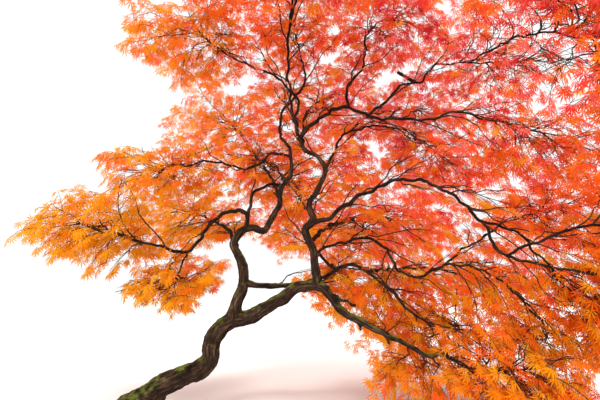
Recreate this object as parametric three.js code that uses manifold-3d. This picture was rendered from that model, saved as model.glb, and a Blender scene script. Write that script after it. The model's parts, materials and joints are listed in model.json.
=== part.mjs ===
// Japanese maple tree in autumn leaf: a low, winding trunk, boughs that reach out from its fork,
// and masses of lacy leaves at their ends, which make a wide dome that hangs low on one side.
// Millimetres, +Z up. The origin is on the flat cut at ground level, +X is the way the trunk leans,
// and -Y is the open front, where the leaves stay high and the limbs show.
import * as THREE from "three";
import { mergeVertices } from "three/addons/utils/BufferGeometryUtils.js";
import Module from "manifold-3d";

const wasm = await Module();
wasm.setup();
const { clamp, lerp } = THREE.MathUtils;

// Driving dimensions
const GAP = 0.4; // between touching pieces
const RINGS_PER_BEND = 2;
const FRAME_STEPS = 300; // along a limb, where the way its section faces is worked out
const AXIS_STEP = 40; // between the points of a limb's axis that leaves keep clear of
const FLARE_RADIUS = 85; // how much wider the trunk is at the ground than above its root flare
const FLARE_HEIGHT = 110; // the height over which the root flare fades
const FLARE_LOBES = 5; // root buttresses round the trunk
const LOBE_DEPTH = 0.3; // share of the flare by which a buttress stands out
const COLLAR = 0.45; // share by which a thin bough swells where it leaves a thick limb
const STEM_RADIUS = [14, 11]; // of a mass's stem, at its start and at its end
const STEM_JOINTS = [0.3, 0.97]; // share of the stem's length at its first twig and at its last
const TWIG_RADIUS = [7.5, 6];
const TWIGS_PER_MASS = 5;
const TWIG_REACH = [0.52, 0.74]; // how far out in their mass's space twigs end
const SPRAY = { length: 600, width: 470, thick: 28 }; // one blade stands for a spray of leaves
const SPRAY_PLACES = [[0.95, 1], [0.8, -1], [0.5, 1]]; // share of the twig's length, and side
const SPRAY_LEAN = 0.5; // how much a spray leans along its twig
const SPRAY_SPACING = 210; // at least this far between the middles of two sprays
const SPRAY_TRIES = 12;
const LIMB_CLEARANCE = 40; // twigs and sprays keep this far from limbs
const SPACE_MARGIN = 0.035; // share of a mass's size left free between two masses
const DOME_MIDDLE = new THREE.Vector3(1650, 150, 500); // sprays lie against the dome about this point

const BARK = { color: 0x3b2a21, roughness: 0.9, metalness: 0 };
const LEAF_COLOURS = { amber: 0xf59a1e, orange: 0xf2701d, vermilion: 0xe9471f, rose: 0xe8463f };

// Each limb leaves the one named in `from` and tapers from its first radius to its second
// along a smooth curve through its bends, [across, back, up].
const LIMBS = [
  { name: "trunk", radius: [97, 74], sides: 12, bends: [[-120, 0, -160], [0, 0, 10], [190, 0, 190],
    [370, 0, 290], [540, 0, 345], [610, 20, 430], [632, 40, 550], [650, 60, 650], [720, 80, 735],
    [840, 97, 785]] },
  { name: "right_leader", from: "trunk", radius: [70, 46], sides: 9, bends: [[840, 97, 785], [970, 90, 805],
    [1110, 60, 885], [1250, 30, 960], [1450, 0, 1085], [1610, 0, 1105], [1730, -25, 1055]] },
  { name: "left_leader", from: "trunk", radius: [56, 18], sides: 7, bends: [[820, 95, 780], [850, 110, 960],
    [905, 150, 1130], [890, 180, 1270], [820, 205, 1430], [790, 220, 1530], [845, 245, 1650],
    [960, 262, 1690], [1080, 270, 1670], [1150, 268, 1770], [1240, 260, 1920], [1265, 272, 2130],
    [1360, 290, 2270], [1350, 320, 2580]] },
  { name: "centre_leader", from: "right_leader", radius: [44, 18], sides: 7, bends: [[1625, 0, 1100],
    [1610, 20, 1240], [1590, 50, 1430], [1505, 80, 1640], [1590, 82, 1740], [1550, 100, 1920],
    [1660, 120, 2090], [1720, 155, 2290], [1640, 172, 2430], [1500, 195, 2540], [1440, 205, 2680]] },
  { name: "left_arm", from: "left_leader", radius: [23, 11], sides: 5, bends: [[905, 258, 1680],
    [890, 255, 1830], [680, 200, 1835], [540, 110, 1680], [410, -50, 1430], [190, -180, 1445],
    [-60, -250, 1510]] },
  { name: "left_drop", from: "left_arm", radius: [11, 8], sides: 5, bends: [[400, -60, 1420],
    [350, -60, 1330], [320, -30, 1240]] },
  { name: "back_bough", from: "left_arm", radius: [18, 11], sides: 5, bends: [[900, 257, 1800],
    [960, 310, 2060], [1250, 480, 2210], [1430, 900, 2270], [1500, 1650, 2240]] },
  { name: "upper_left_arm", from: "left_leader", radius: [15, 8], sides: 5, bends: [[1355, 305, 2480],
    [1130, 292, 2500], [1020, 270, 2400], [880, 240, 2340], [510, 50, 2350], [320, -60, 2260]] },
  { name: "high_left_leader", from: "left_leader", radius: [18, 9], sides: 5, bends: [[1350, 320, 2580],
    [1240, 360, 2730], [1260, 400, 3030], [1500, 440, 3370], [1500, 480, 3600], [1450, 500, 3880]] },
  { name: "lower_right_bough", from: "right_leader", radius: [40, 12], sides: 7, bends: [[1690, -15, 1075],
    [1790, -50, 950], [1890, -80, 850], [2090, -150, 730], [2300, -240, 640], [2560, -340, 520],
    [2640, -365, 545], [2830, -420, 455]] },
  { name: "cross_bough", from: "left_leader", radius: [30, 10], sides: 7, bends: [[895, 145, 1130],
    [1090, 250, 1110], [1370, 350, 1110], [1720, 390, 1205], [1870, 380, 1295], [1980, 360, 1320],
    [2120, 335, 1260], [2370, 305, 1090], [2500, 290, 915], [2780, 280, 735], [3020, 280, 680]] },
  { name: "right_bough", from: "cross_bough", radius: [17, 9], sides: 5, bends: [[1830, 380, 1275],
    [1690, 388, 1390], [1690, 380, 1500], [1860, 340, 1535], [2150, 260, 1570], [2330, 180, 1480],
    [2440, 100, 1240], [2620, 35, 1180], [2800, -20, 1285], [3110, -100, 1270], [3340, -150, 1120],
    [3570, -190, 840]] },
  { name: "upper_right_bough", from: "centre_leader", radius: [21, 9], sides: 5, bends: [[1450, 203, 2650],
    [1560, 180, 2770], [1800, 120, 2935], [1980, 60, 2940], [2180, -20, 2805], [2420, -100, 2745],
    [2730, -220, 2690], [2970, -330, 2715], [3180, -400, 2620]] },
  { name: "high_left_bough", from: "centre_leader", radius: [18, 8], sides: 5, bends: [[1440, 205, 2680],
    [1390, 260, 2880], [1450, 310, 3040], [1390, 350, 3200], [1190, 350, 3410], [780, 150, 3520],
    [600, 20, 3590]] },
  { name: "high_right_bough", from: "upper_right_bough", radius: [17, 8], sides: 5, bends: [[1975, 62, 2940],
    [1975, 90, 3190], [2150, 150, 3450], [2190, 230, 3850]] },
  { name: "shoulder_bough", from: "upper_right_bough", radius: [14, 8], sides: 5, bends: [[2160, -10, 2820],
    [2410, 0, 3030], [2530, 20, 3170], [2720, 0, 3190], [2860, -40, 3350], [3260, -180, 3310]] },
  { name: "inner_right_bough", from: "centre_leader", radius: [15, 8], sides: 5, bends: [[1715, 150, 2290],
    [1840, 200, 2540], [1940, 235, 2710], [2200, 270, 2790], [2530, 340, 2830], [2750, 450, 2760]] },
  { name: "sweeping_bough", from: "centre_leader", radius: [21, 15], sides: 5, bends: [[1575, 82, 1725],
    [1800, 30, 1800], [1930, -50, 1900], [2180, -200, 2010], [2400, -350, 2060]] },
  { name: "falling_bough", from: "sweeping_bough", radius: [15, 10], sides: 5, bends: [[2400, -350, 2060],
    [2640, -510, 1970], [2950, -720, 1600], [3050, -800, 1330], [3300, -960, 1235], [3480, -1060, 1190]] },
  { name: "side_bough", from: "falling_bough", radius: [12, 8], sides: 5, bends: [[2940, -715, 1610],
    [3190, -690, 1545], [3400, -670, 1340], [3560, -640, 1130]] },
  { name: "low_back_left_bough", from: "left_leader", radius: [22, 10], sides: 5, bends: [[815, 208, 1440],
    [700, 480, 1680], [450, 900, 1850], [180, 1330, 2000]] },
  { name: "high_back_left_bough", from: "left_leader", radius: [17, 9], sides: 5, bends: [[1250, 265, 2000],
    [1110, 600, 2350], [850, 950, 2750], [700, 1150, 3020]] },
  { name: "inner_back_bough", from: "left_leader", radius: [13, 8], sides: 5, bends: [[1255, 268, 2060],
    [1230, 480, 2330], [1120, 700, 2500], [1060, 860, 2580]] },
  { name: "low_back_right_bough", from: "centre_leader", radius: [22, 10], sides: 5, bends: [[1550, 65, 1530],
    [1800, 500, 1750], [2150, 1000, 1900], [2550, 1500, 2000]] },
  { name: "high_back_bough", from: "centre_leader", radius: [16, 9], sides: 5, bends: [[1490, 197, 2550],
    [1500, 500, 2960], [1640, 850, 3320], [1720, 1120, 3500]] },
  { name: "high_back_right_bough", from: "inner_right_bough", radius: [12, 8], sides: 5,
    bends: [[2000, 245, 2735], [2200, 500, 3000], [2480, 760, 3180], [2700, 930, 3290]] },
  { name: "low_far_right_bough", from: "cross_bough", radius: [16, 9], sides: 5, bends: [[2140, 333, 1250],
    [2600, 620, 1290], [3100, 930, 1280], [3500, 1180, 1220]] },
  { name: "far_right_bough", from: "right_bough", radius: [12, 8], sides: 5, bends: [[2810, -20, 1290],
    [3150, 120, 1500], [3550, 250, 1720], [3850, 330, 1840]] },
  { name: "high_front_bough", from: "centre_leader", radius: [16, 9], sides: 5, bends: [[1440, 205, 2680],
    [1350, -60, 3120], [1350, -450, 3550], [1430, -760, 3900]] },
  { name: "front_bough", from: "high_front_bough", radius: [12, 8], sides: 5, bends: [[1355, -480, 3580],
    [1470, -900, 3660], [1600, -1420, 3540]] },
  { name: "front_right_bough", from: "shoulder_bough", radius: [11, 8], sides: 5, bends: [[3180, -150, 3320],
    [3290, -600, 3260], [3350, -1050, 3080], [3410, -1350, 2880]] },
  { name: "low_front_right_bough", from: "falling_bough", radius: [12, 8], sides: 5,
    bends: [[3070, -810, 1310], [3350, -1250, 1480], [3600, -1560, 1450]] },
];

// Each mass of leaves keeps to an oval space about `middle`, `half` as wide each way,
// and hangs on the limb named in `on`.
const MASSES = [
  { name: "left_leaves", on: "left_arm", middle: [-560, 0, 1680], half: [900, 820, 520], tint: "amber" },
  { name: "left_hanging_leaves", on: "left_drop", middle: [230, 40, 1140], half: [640, 600, 380],
    tint: "amber" },
  { name: "upper_left_leaves", on: "upper_left_arm", middle: [60, -20, 2250], half: [740, 700, 400],
    tint: "orange" },
  { name: "high_left_leaves", on: "high_left_bough", middle: [400, -150, 3660], half: [840, 820, 500],
    tint: "orange" },
  { name: "top_leaves", on: "high_left_leader", middle: [1380, 480, 4180], half: [880, 880, 520],
    tint: "vermilion" },
  { name: "high_right_leaves", on: "high_right_bough", middle: [2520, 150, 4020], half: [880, 880, 520],
    tint: "rose" },
  { name: "shoulder_leaves", on: "shoulder_bough", middle: [3680, -280, 3300], half: [880, 880, 500],
    tint: "rose" },
  { name: "upper_right_leaves", on: "upper_right_bough", middle: [3800, -420, 2400], half: [860, 800, 520],
    tint: "rose" },
  { name: "inner_right_leaves", on: "inner_right_bough", middle: [3180, 800, 2620], half: [860, 820, 500],
    tint: "vermilion" },
  { name: "falling_leaves", on: "falling_bough", middle: [4050, -1150, 1300], half: [850, 740, 640],
    tint: "rose" },
  { name: "side_leaves", on: "side_bough", middle: [4120, -420, 880], half: [800, 740, 580],
    tint: "vermilion" },
  { name: "right_leaves", on: "right_bough", middle: [3880, 330, 620], half: [820, 780, 520],
    tint: "orange" },
  { name: "low_right_leaves", on: "lower_right_bough", middle: [3100, -700, 470], half: [740, 660, 430],
    tint: "orange" },
  { name: "low_middle_leaves", on: "cross_bough", middle: [2920, 760, 780], half: [860, 780, 520],
    tint: "orange" },
  { name: "back_left_leaves", on: "low_back_left_bough", middle: [-150, 1750, 2150], half: [980, 900, 750],
    tint: "orange" },
  { name: "high_back_left_leaves", on: "high_back_left_bough", middle: [450, 1400, 3320],
    half: [940, 900, 620], tint: "orange" },
  { name: "inner_back_leaves", on: "inner_back_bough", middle: [1020, 1180, 2680], half: [740, 600, 440],
    tint: "orange" },
  { name: "back_leaves", on: "back_bough", middle: [1500, 2350, 2250], half: [980, 880, 800],
    tint: "orange" },
  { name: "high_back_leaves", on: "high_back_bough", middle: [1850, 1620, 3620], half: [980, 920, 640],
    tint: "vermilion" },
  { name: "back_right_leaves", on: "low_back_right_bough", middle: [3080, 2050, 2000], half: [980, 920, 800],
    tint: "vermilion" },
  { name: "high_back_right_leaves", on: "high_back_right_bough", middle: [3180, 1300, 3340],
    half: [940, 920, 600], tint: "vermilion" },
  { name: "low_far_right_leaves", on: "low_far_right_bough", middle: [4080, 1480, 1180],
    half: [860, 860, 700], tint: "vermilion" },
  { name: "far_right_leaves", on: "far_right_bough", middle: [4350, 480, 1950], half: [760, 880, 680],
    tint: "rose" },
  { name: "high_front_leaves", on: "high_front_bough", middle: [1500, -1050, 4120], half: [960, 900, 460],
    tint: "vermilion" },
  { name: "front_leaves", on: "front_bough", middle: [1650, -2000, 3320], half: [940, 780, 460],
    tint: "orange" },
  { name: "front_right_leaves", on: "front_right_bough", middle: [3520, -1850, 2580], half: [840, 800, 620],
    tint: "rose" },
  { name: "low_front_right_leaves", on: "low_front_right_bough", middle: [3980, -1950, 1350],
    half: [740, 700, 680], tint: "vermilion" },
];

const GOLDEN_TURN = Math.PI * (3 - Math.sqrt(5));

// Repeatable draws from 0 to 1
function drawsFrom(seed) {
  let state = seed;
  return () => {
    state = (Math.imul(state, 1664525) + 1013904223) >>> 0;
    return state / 2 ** 32;
  };
}

const along = (start, end, share) => start.clone().lerp(end, share);
const curveThrough = (points) => new THREE.CatmullRomCurve3(points, false, "centripetal");

// Solids and meshes
function solidOf(positions, faces) {
  return new wasm.Manifold(new wasm.Mesh({
    numProp: 3,
    vertProperties: new Float32Array(positions),
    triVerts: new Uint32Array(faces),
  }));
}

const facetSolid = (corners, faces) => solidOf(corners.flatMap((corner) => corner.toArray()), faces.flat());

function meshOf(name, solid, look) {
  const { vertProperties, triVerts } = solid.getMesh();
  const geometry = new THREE.BufferGeometry();
  geometry.setAttribute("position", new THREE.BufferAttribute(vertProperties, 3));
  geometry.setIndex(new THREE.BufferAttribute(triVerts, 1));
  geometry.computeVertexNormals();
  const mesh = new THREE.Mesh(geometry, new THREE.MeshStandardMaterial(look));
  mesh.name = name;
  return mesh;
}

const largest = (solid) => solid.decompose().reduce((a, b) => (b.volume() > a.volume() ? b : a));

// A bar along a curve: radiusAt gives its radius for a distance and an angle, and `extra` lengthens its ends
function barSolid(curve, radiusAt, sides, rings, extra = 0) {
  curve.arcLengthDivisions = FRAME_STEPS;
  const { normals, binormals, tangents } = curve.computeFrenetFrames(FRAME_STEPS, false);
  const distances = curve.getLengths(rings * 10);
  const length = distances.at(-1);
  const geometry = new THREE.CylinderGeometry(1, 1, 1, sides, rings);
  const at = geometry.attributes.position;
  for (let i = 0; i < at.count; i++) {
    const ring = Math.round((at.getY(i) + 0.5) * rings);
    const distance = distances[ring * 10];
    const frame = Math.round((distance / length) * FRAME_STEPS);
    const [across, aside] = [at.getZ(i), at.getX(i)];
    const radius = radiusAt(distance, Math.atan2(aside, across));
    const end = ring === 0 ? -extra : ring === rings ? extra : 0;
    const point = curve.getPoint(ring / rings)
      .addScaledVector(normals[frame], radius * across)
      .addScaledVector(binormals[frame], radius * aside)
      .addScaledVector(tangents[frame], end);
    at.setXYZ(i, ...point.toArray());
  }
  geometry.deleteAttribute("normal");
  geometry.deleteAttribute("uv");
  const merged = mergeVertices(geometry, 1e-3);
  return solidOf(merged.attributes.position.array, merged.index.array);
}

// Limbs
const nearest = (points, place) =>
  points.reduce((a, b) => (b.distanceTo(place) < a.distanceTo(place) ? b : a));

function rootFlare(height, angle) {
  const lobes = 1 + LOBE_DEPTH * Math.cos(FLARE_LOBES * angle);
  return FLARE_RADIUS * lobes * Math.exp(-Math.max(height, 0) / FLARE_HEIGHT);
}

// The share by which a bough of this radius swells at its foot: none where it carries its parent on
function collarShare(radius, parentRadius) {
  return COLLAR * Math.max(0, 1 - radius / parentRadius);
}

function growLimb({ name, from, radius: [foot, tip], sides, bends }, limbs) {
  const parent = limbs.get(from);
  const points = bends.map((bend) => new THREE.Vector3(...bend));
  if (parent) points[0] = nearest(parent.axis, points[0]).clone();
  const curve = curveThrough(points);
  const length = curve.getLength();
  const buried = parent ? parent.radiusAt(parent.axis.findIndex((at) => at.equals(points[0])) * parent.step) : 0;
  const swelling = parent ? collarShare(foot, buried) : 0;
  const radiusAt = (distance, angle = 0) => {
    const taper = lerp(foot, tip, distance / length);
    if (!parent) return taper + rootFlare(curve.getPointAt(Math.min(1, distance / length)).z, angle);
    return taper * (1 + swelling * Math.exp(-Math.max(distance - buried, 0) / (1.5 * foot)));
  };
  const rings = (bends.length - 1) * RINGS_PER_BEND;
  const widened = (distance, angle) => radiusAt(distance, angle) + GAP / Math.cos(Math.PI / sides);
  let solid = barSolid(curve, radiusAt, sides, rings);
  const cutter = barSolid(curve, widened, sides, rings, GAP);
  for (const other of limbs.values()) solid = solid.subtract(other.cutter);
  if (!parent) solid = solid.trimByPlane([0, 0, 1], 0);
  const steps = Math.ceil(length / AXIS_STEP);
  limbs.set(name, {
    name, cutter, radiusAt,
    solid: largest(solid),
    axis: curve.getSpacedPoints(steps),
    step: length / steps,
    tip: curve.getPointAt(1),
    heading: curve.getTangentAt(1),
  });
}

const limbs = new Map();
for (const limb of LIMBS) growLimb(limb, limbs);

const bark = [...limbs.values()].flatMap((limb) =>
  limb.axis.map((point, i) => ({ point, radius: limb.radiusAt(i * limb.step) })));

const clearOfLimbs = (place) =>
  bark.every(({ point, radius }) => point.distanceTo(place) > radius + LIMB_CLEARANCE);

// Spaces
const spaces = MASSES.map(({ middle, half }) => ({
  middle: new THREE.Vector3(...middle),
  half: new THREE.Vector3(...half),
}));

// How deep a place lies in a space: 0 at its middle, 1 on its surface
const depthIn = ({ middle, half }, place) => place.clone().sub(middle).divide(half).length();

function staysIn(own, place) {
  const depth = depthIn(spaces[own], place);
  if (depth > 1) return false;
  return spaces.every((other, i) => i === own || depthIn(other, place) > depth + SPACE_MARGIN);
}

// Twigs
// A three-sided twig, thick at its start
function twigSolid(start, end) {
  const heading = end.clone().sub(start).normalize();
  const side = new THREE.Vector3(-heading.y, heading.x, 0.2).projectOnPlane(heading).normalize();
  const other = new THREE.Vector3().crossVectors(heading, side);
  const corners = [[start, TWIG_RADIUS[0]], [end, TWIG_RADIUS[1]]].flatMap(([middle, radius]) =>
    [0, 1, 2].map((i) => {
      const angle = (i * 2 * Math.PI) / 3;
      return middle.clone().addScaledVector(side, radius * Math.cos(angle))
        .addScaledVector(other, radius * Math.sin(angle));
    }));
  return facetSolid(corners,
    [[0, 2, 1], [3, 4, 5], [0, 1, 4], [0, 4, 3], [1, 2, 5], [1, 5, 4], [2, 0, 3], [2, 3, 5]]);
}

function twigFits(own, start, end) {
  const steps = Math.ceil(start.distanceTo(end) / AXIS_STEP);
  const places = Array.from({ length: steps }, (_, i) => along(start, end, (i + 1) / steps));
  return places.every((place) => staysIn(own, place) && clearOfLimbs(place));
}

// The places that a mass's twigs reach for, spread evenly through its space
function reachPlaces({ middle, half }, draw) {
  const turned = 2 * Math.PI * draw();
  return Array.from({ length: TWIGS_PER_MASS }, (_, i) => {
    const up = 1 - (2 * (i + 0.5)) / TWIGS_PER_MASS;
    const round = Math.sqrt(1 - up * up);
    const angle = turned + i * GOLDEN_TURN;
    return new THREE.Vector3(Math.cos(angle) * round, Math.sin(angle) * round, up * 0.8)
      .multiply(half).multiplyScalar(lerp(...TWIG_REACH, draw())).add(middle);
  });
}

// Sprays
// A spray is a flat kite of eight faces: it widens from its root to its shoulders and ends in a tip
function sprayAt(root, heading, normal, size) {
  const side = new THREE.Vector3().crossVectors(normal, heading);
  return { root, heading, side, normal, length: SPRAY.length * size, width: SPRAY.width * size };
}

const halfWidthAt = ({ width }, share) => (width / 2) * (1 - Math.abs(2 * share - 1));

// A place on a spray: a share of its length, a share of its half width there, and a height above it
function placeOn(spray, share, aside, above = 0) {
  return spray.root.clone().addScaledVector(spray.heading, share * spray.length)
    .addScaledVector(spray.side, aside * halfWidthAt(spray, share)).addScaledVector(spray.normal, above);
}

function spraySolid(spray) {
  const rim = [placeOn(spray, 0, 0), placeOn(spray, 0.5, 1), placeOn(spray, 1, 0), placeOn(spray, 0.5, -1)];
  const ridges = [1, -1].map((face) => placeOn(spray, 0.5, 0, (face * SPRAY.thick) / 2));
  const faces = [0, 1, 2, 3].flatMap((i) => {
    const next = (i + 1) % 4;
    return [[i, next, 5], [next, i, 4]];
  });
  return facetSolid([...rim, ...ridges], faces);
}

function touchesLimb(spray) {
  return bark.some(({ point, radius }) => {
    const offset = point.clone().sub(spray.root);
    const reach = radius + LIMB_CLEARANCE;
    const share = offset.dot(spray.heading) / spray.length;
    const margin = reach / spray.length;
    return Math.abs(offset.dot(spray.normal)) < reach && share > -margin && share < 1 + margin
      && Math.abs(offset.dot(spray.side)) < halfWidthAt(spray, clamp(share, 0, 1)) + reach;
  });
}

function sprayFits(own, spray, kept) {
  const centre = placeOn(spray, 0.5, 0);
  if (kept.some((other) => placeOn(other, 0.5, 0).distanceTo(centre) < SPRAY_SPACING)) return false;
  const places = [0.2, 0.35, 0.5, 0.65, 0.8].flatMap((share) =>
    [-1, 0, 1].map((aside) => placeOn(spray, share, aside)));
  return [...places, placeOn(spray, 1, 0)].every((place) => staysIn(own, place)) && !touchesLimb(spray);
}

// A spray that leaves its twig to one side, lies against the dome, and leans a little along the twig
function sprayFrom(root, twigHeading, side, spread, size, draw) {
  const outward = root.clone().sub(DOME_MIDDLE).normalize();
  const tilt = new THREE.Vector3(draw() - 0.5, draw() - 0.5, 0.5 + 0.5 * draw());
  const normal = outward.multiplyScalar(0.8).add(tilt).normalize();
  const across = new THREE.Vector3().crossVectors(twigHeading, normal).normalize().multiplyScalar(side);
  const lean = SPRAY_LEAN + spread * (draw() - 0.5);
  const heading = across.addScaledVector(twigHeading, lean).projectOnPlane(normal).normalize();
  return sprayAt(root, heading, normal, size);
}

// The first of a few tries at a spray that fits, each a little smaller and turned more
function firstThatFits(own, root, twigHeading, side, kept, draw) {
  for (let attempt = 0; attempt < SPRAY_TRIES; attempt++) {
    const size = lerp(0.95, 1.2, draw()) * (1 - 0.04 * attempt);
    const spray = sprayFrom(root, twigHeading, side, 0.15 * attempt, size, draw);
    if (sprayFits(own, spray, kept)) return spray;
  }
  return null;
}

// Masses
function massStem(limb, space) {
  const start = limb.tip.clone().addScaledVector(limb.heading, GAP);
  const leaving = start.clone().addScaledVector(limb.heading, 30);
  const swing = 0.2 * start.distanceTo(space.middle);
  const bend = along(start, space.middle, 0.5).addScaledVector(limb.heading, swing);
  return curveThrough([start, leaving, bend, space.middle]);
}

function growMass({ on }, own) {
  const draw = drawsFrom(1009 * (own + 1));
  const space = spaces[own];
  const stem = massStem(limbs.get(on), space);
  const stemLength = stem.getLength();
  const pieces = [barSolid(stem, (distance) => lerp(...STEM_RADIUS, distance / stemLength), 4, 3)];
  const start = stem.getPointAt(0);
  const places = reachPlaces(space, draw).sort((a, b) => a.distanceTo(start) - b.distanceTo(start));
  const kept = [];
  for (const [i, place] of places.entries()) {
    const joint = stem.getPointAt(lerp(...STEM_JOINTS, i / (TWIGS_PER_MASS - 1)));
    if (!twigFits(own, joint, place)) continue;
    pieces.push(twigSolid(joint, place));
    const heading = place.clone().sub(joint).normalize();
    for (const [share, side] of SPRAY_PLACES) {
      const root = along(joint, place, share);
      const spray = firstThatFits(own, root, heading, i % 2 ? side : -side, kept, draw);
      if (spray) kept.push(spray);
    }
  }
  return largest(wasm.Manifold.union([...pieces, ...kept.map(spraySolid)]));
}

// The tree
const tree = new THREE.Group();
tree.name = "japanese_maple";
for (const { name, solid } of limbs.values()) tree.add(meshOf(name, solid, BARK));
MASSES.forEach((mass, own) => {
  const look = { color: LEAF_COLOURS[mass.tint], roughness: 0.6, metalness: 0 };
  tree.add(meshOf(mass.name, growMass(mass, own), look));
});

export default tree;
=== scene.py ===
# Japanese maple tree in autumn leaf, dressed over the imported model: bark with relief on the trunk
# and boughs, twigs that grow on from them, and leaves in autumn tints. Metres, +Z up.
import json
import math
from collections import namedtuple

import bmesh
import bpy
import numpy as np
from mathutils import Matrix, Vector, kdtree, noise

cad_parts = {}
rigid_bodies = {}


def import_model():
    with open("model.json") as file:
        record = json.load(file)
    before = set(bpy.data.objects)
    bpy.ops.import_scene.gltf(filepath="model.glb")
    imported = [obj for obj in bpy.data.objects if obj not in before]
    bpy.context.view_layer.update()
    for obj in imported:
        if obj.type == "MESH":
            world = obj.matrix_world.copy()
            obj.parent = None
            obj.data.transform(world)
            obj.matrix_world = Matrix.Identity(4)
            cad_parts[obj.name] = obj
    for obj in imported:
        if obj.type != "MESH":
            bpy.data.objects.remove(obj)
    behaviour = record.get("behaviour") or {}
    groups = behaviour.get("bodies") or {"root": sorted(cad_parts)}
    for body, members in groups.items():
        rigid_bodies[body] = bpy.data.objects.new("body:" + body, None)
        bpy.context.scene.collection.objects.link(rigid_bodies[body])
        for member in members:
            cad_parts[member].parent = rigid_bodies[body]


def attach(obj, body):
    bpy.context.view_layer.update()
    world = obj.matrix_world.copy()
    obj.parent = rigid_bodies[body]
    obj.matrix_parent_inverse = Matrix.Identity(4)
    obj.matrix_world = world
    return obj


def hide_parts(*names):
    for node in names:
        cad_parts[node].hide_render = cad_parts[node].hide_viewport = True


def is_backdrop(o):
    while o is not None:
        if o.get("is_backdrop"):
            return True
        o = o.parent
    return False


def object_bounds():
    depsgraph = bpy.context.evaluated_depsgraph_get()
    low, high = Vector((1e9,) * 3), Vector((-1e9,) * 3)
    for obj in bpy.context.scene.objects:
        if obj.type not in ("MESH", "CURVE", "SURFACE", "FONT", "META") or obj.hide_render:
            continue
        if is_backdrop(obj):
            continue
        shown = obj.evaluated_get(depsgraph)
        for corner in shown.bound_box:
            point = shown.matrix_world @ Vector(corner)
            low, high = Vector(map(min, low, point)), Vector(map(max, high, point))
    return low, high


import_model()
cad_low, cad_high = (np.array(corner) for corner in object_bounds())

# Seeds: with them each run grows the same tree
NOISE_SEED = 5
MASS_SEED = 1009
SHOOT_SEED = 7001
HANGING_SEED = 8011
TRAILING_SEED = 9029
LEAF_SEED = 31
noise.seed_set(NOISE_SEED)

# Photograph: its frame in pixels, and where it was taken from
PHOTO_WIDTH = 600
PHOTO_HEIGHT = 400
FOCAL_PIXELS = 433
CAMERA_PLACE = (1.46, -4.2, 1.08)
CAMERA_PITCH = math.radians(11.5)
SENSOR_WIDTH_MM = 36

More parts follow.
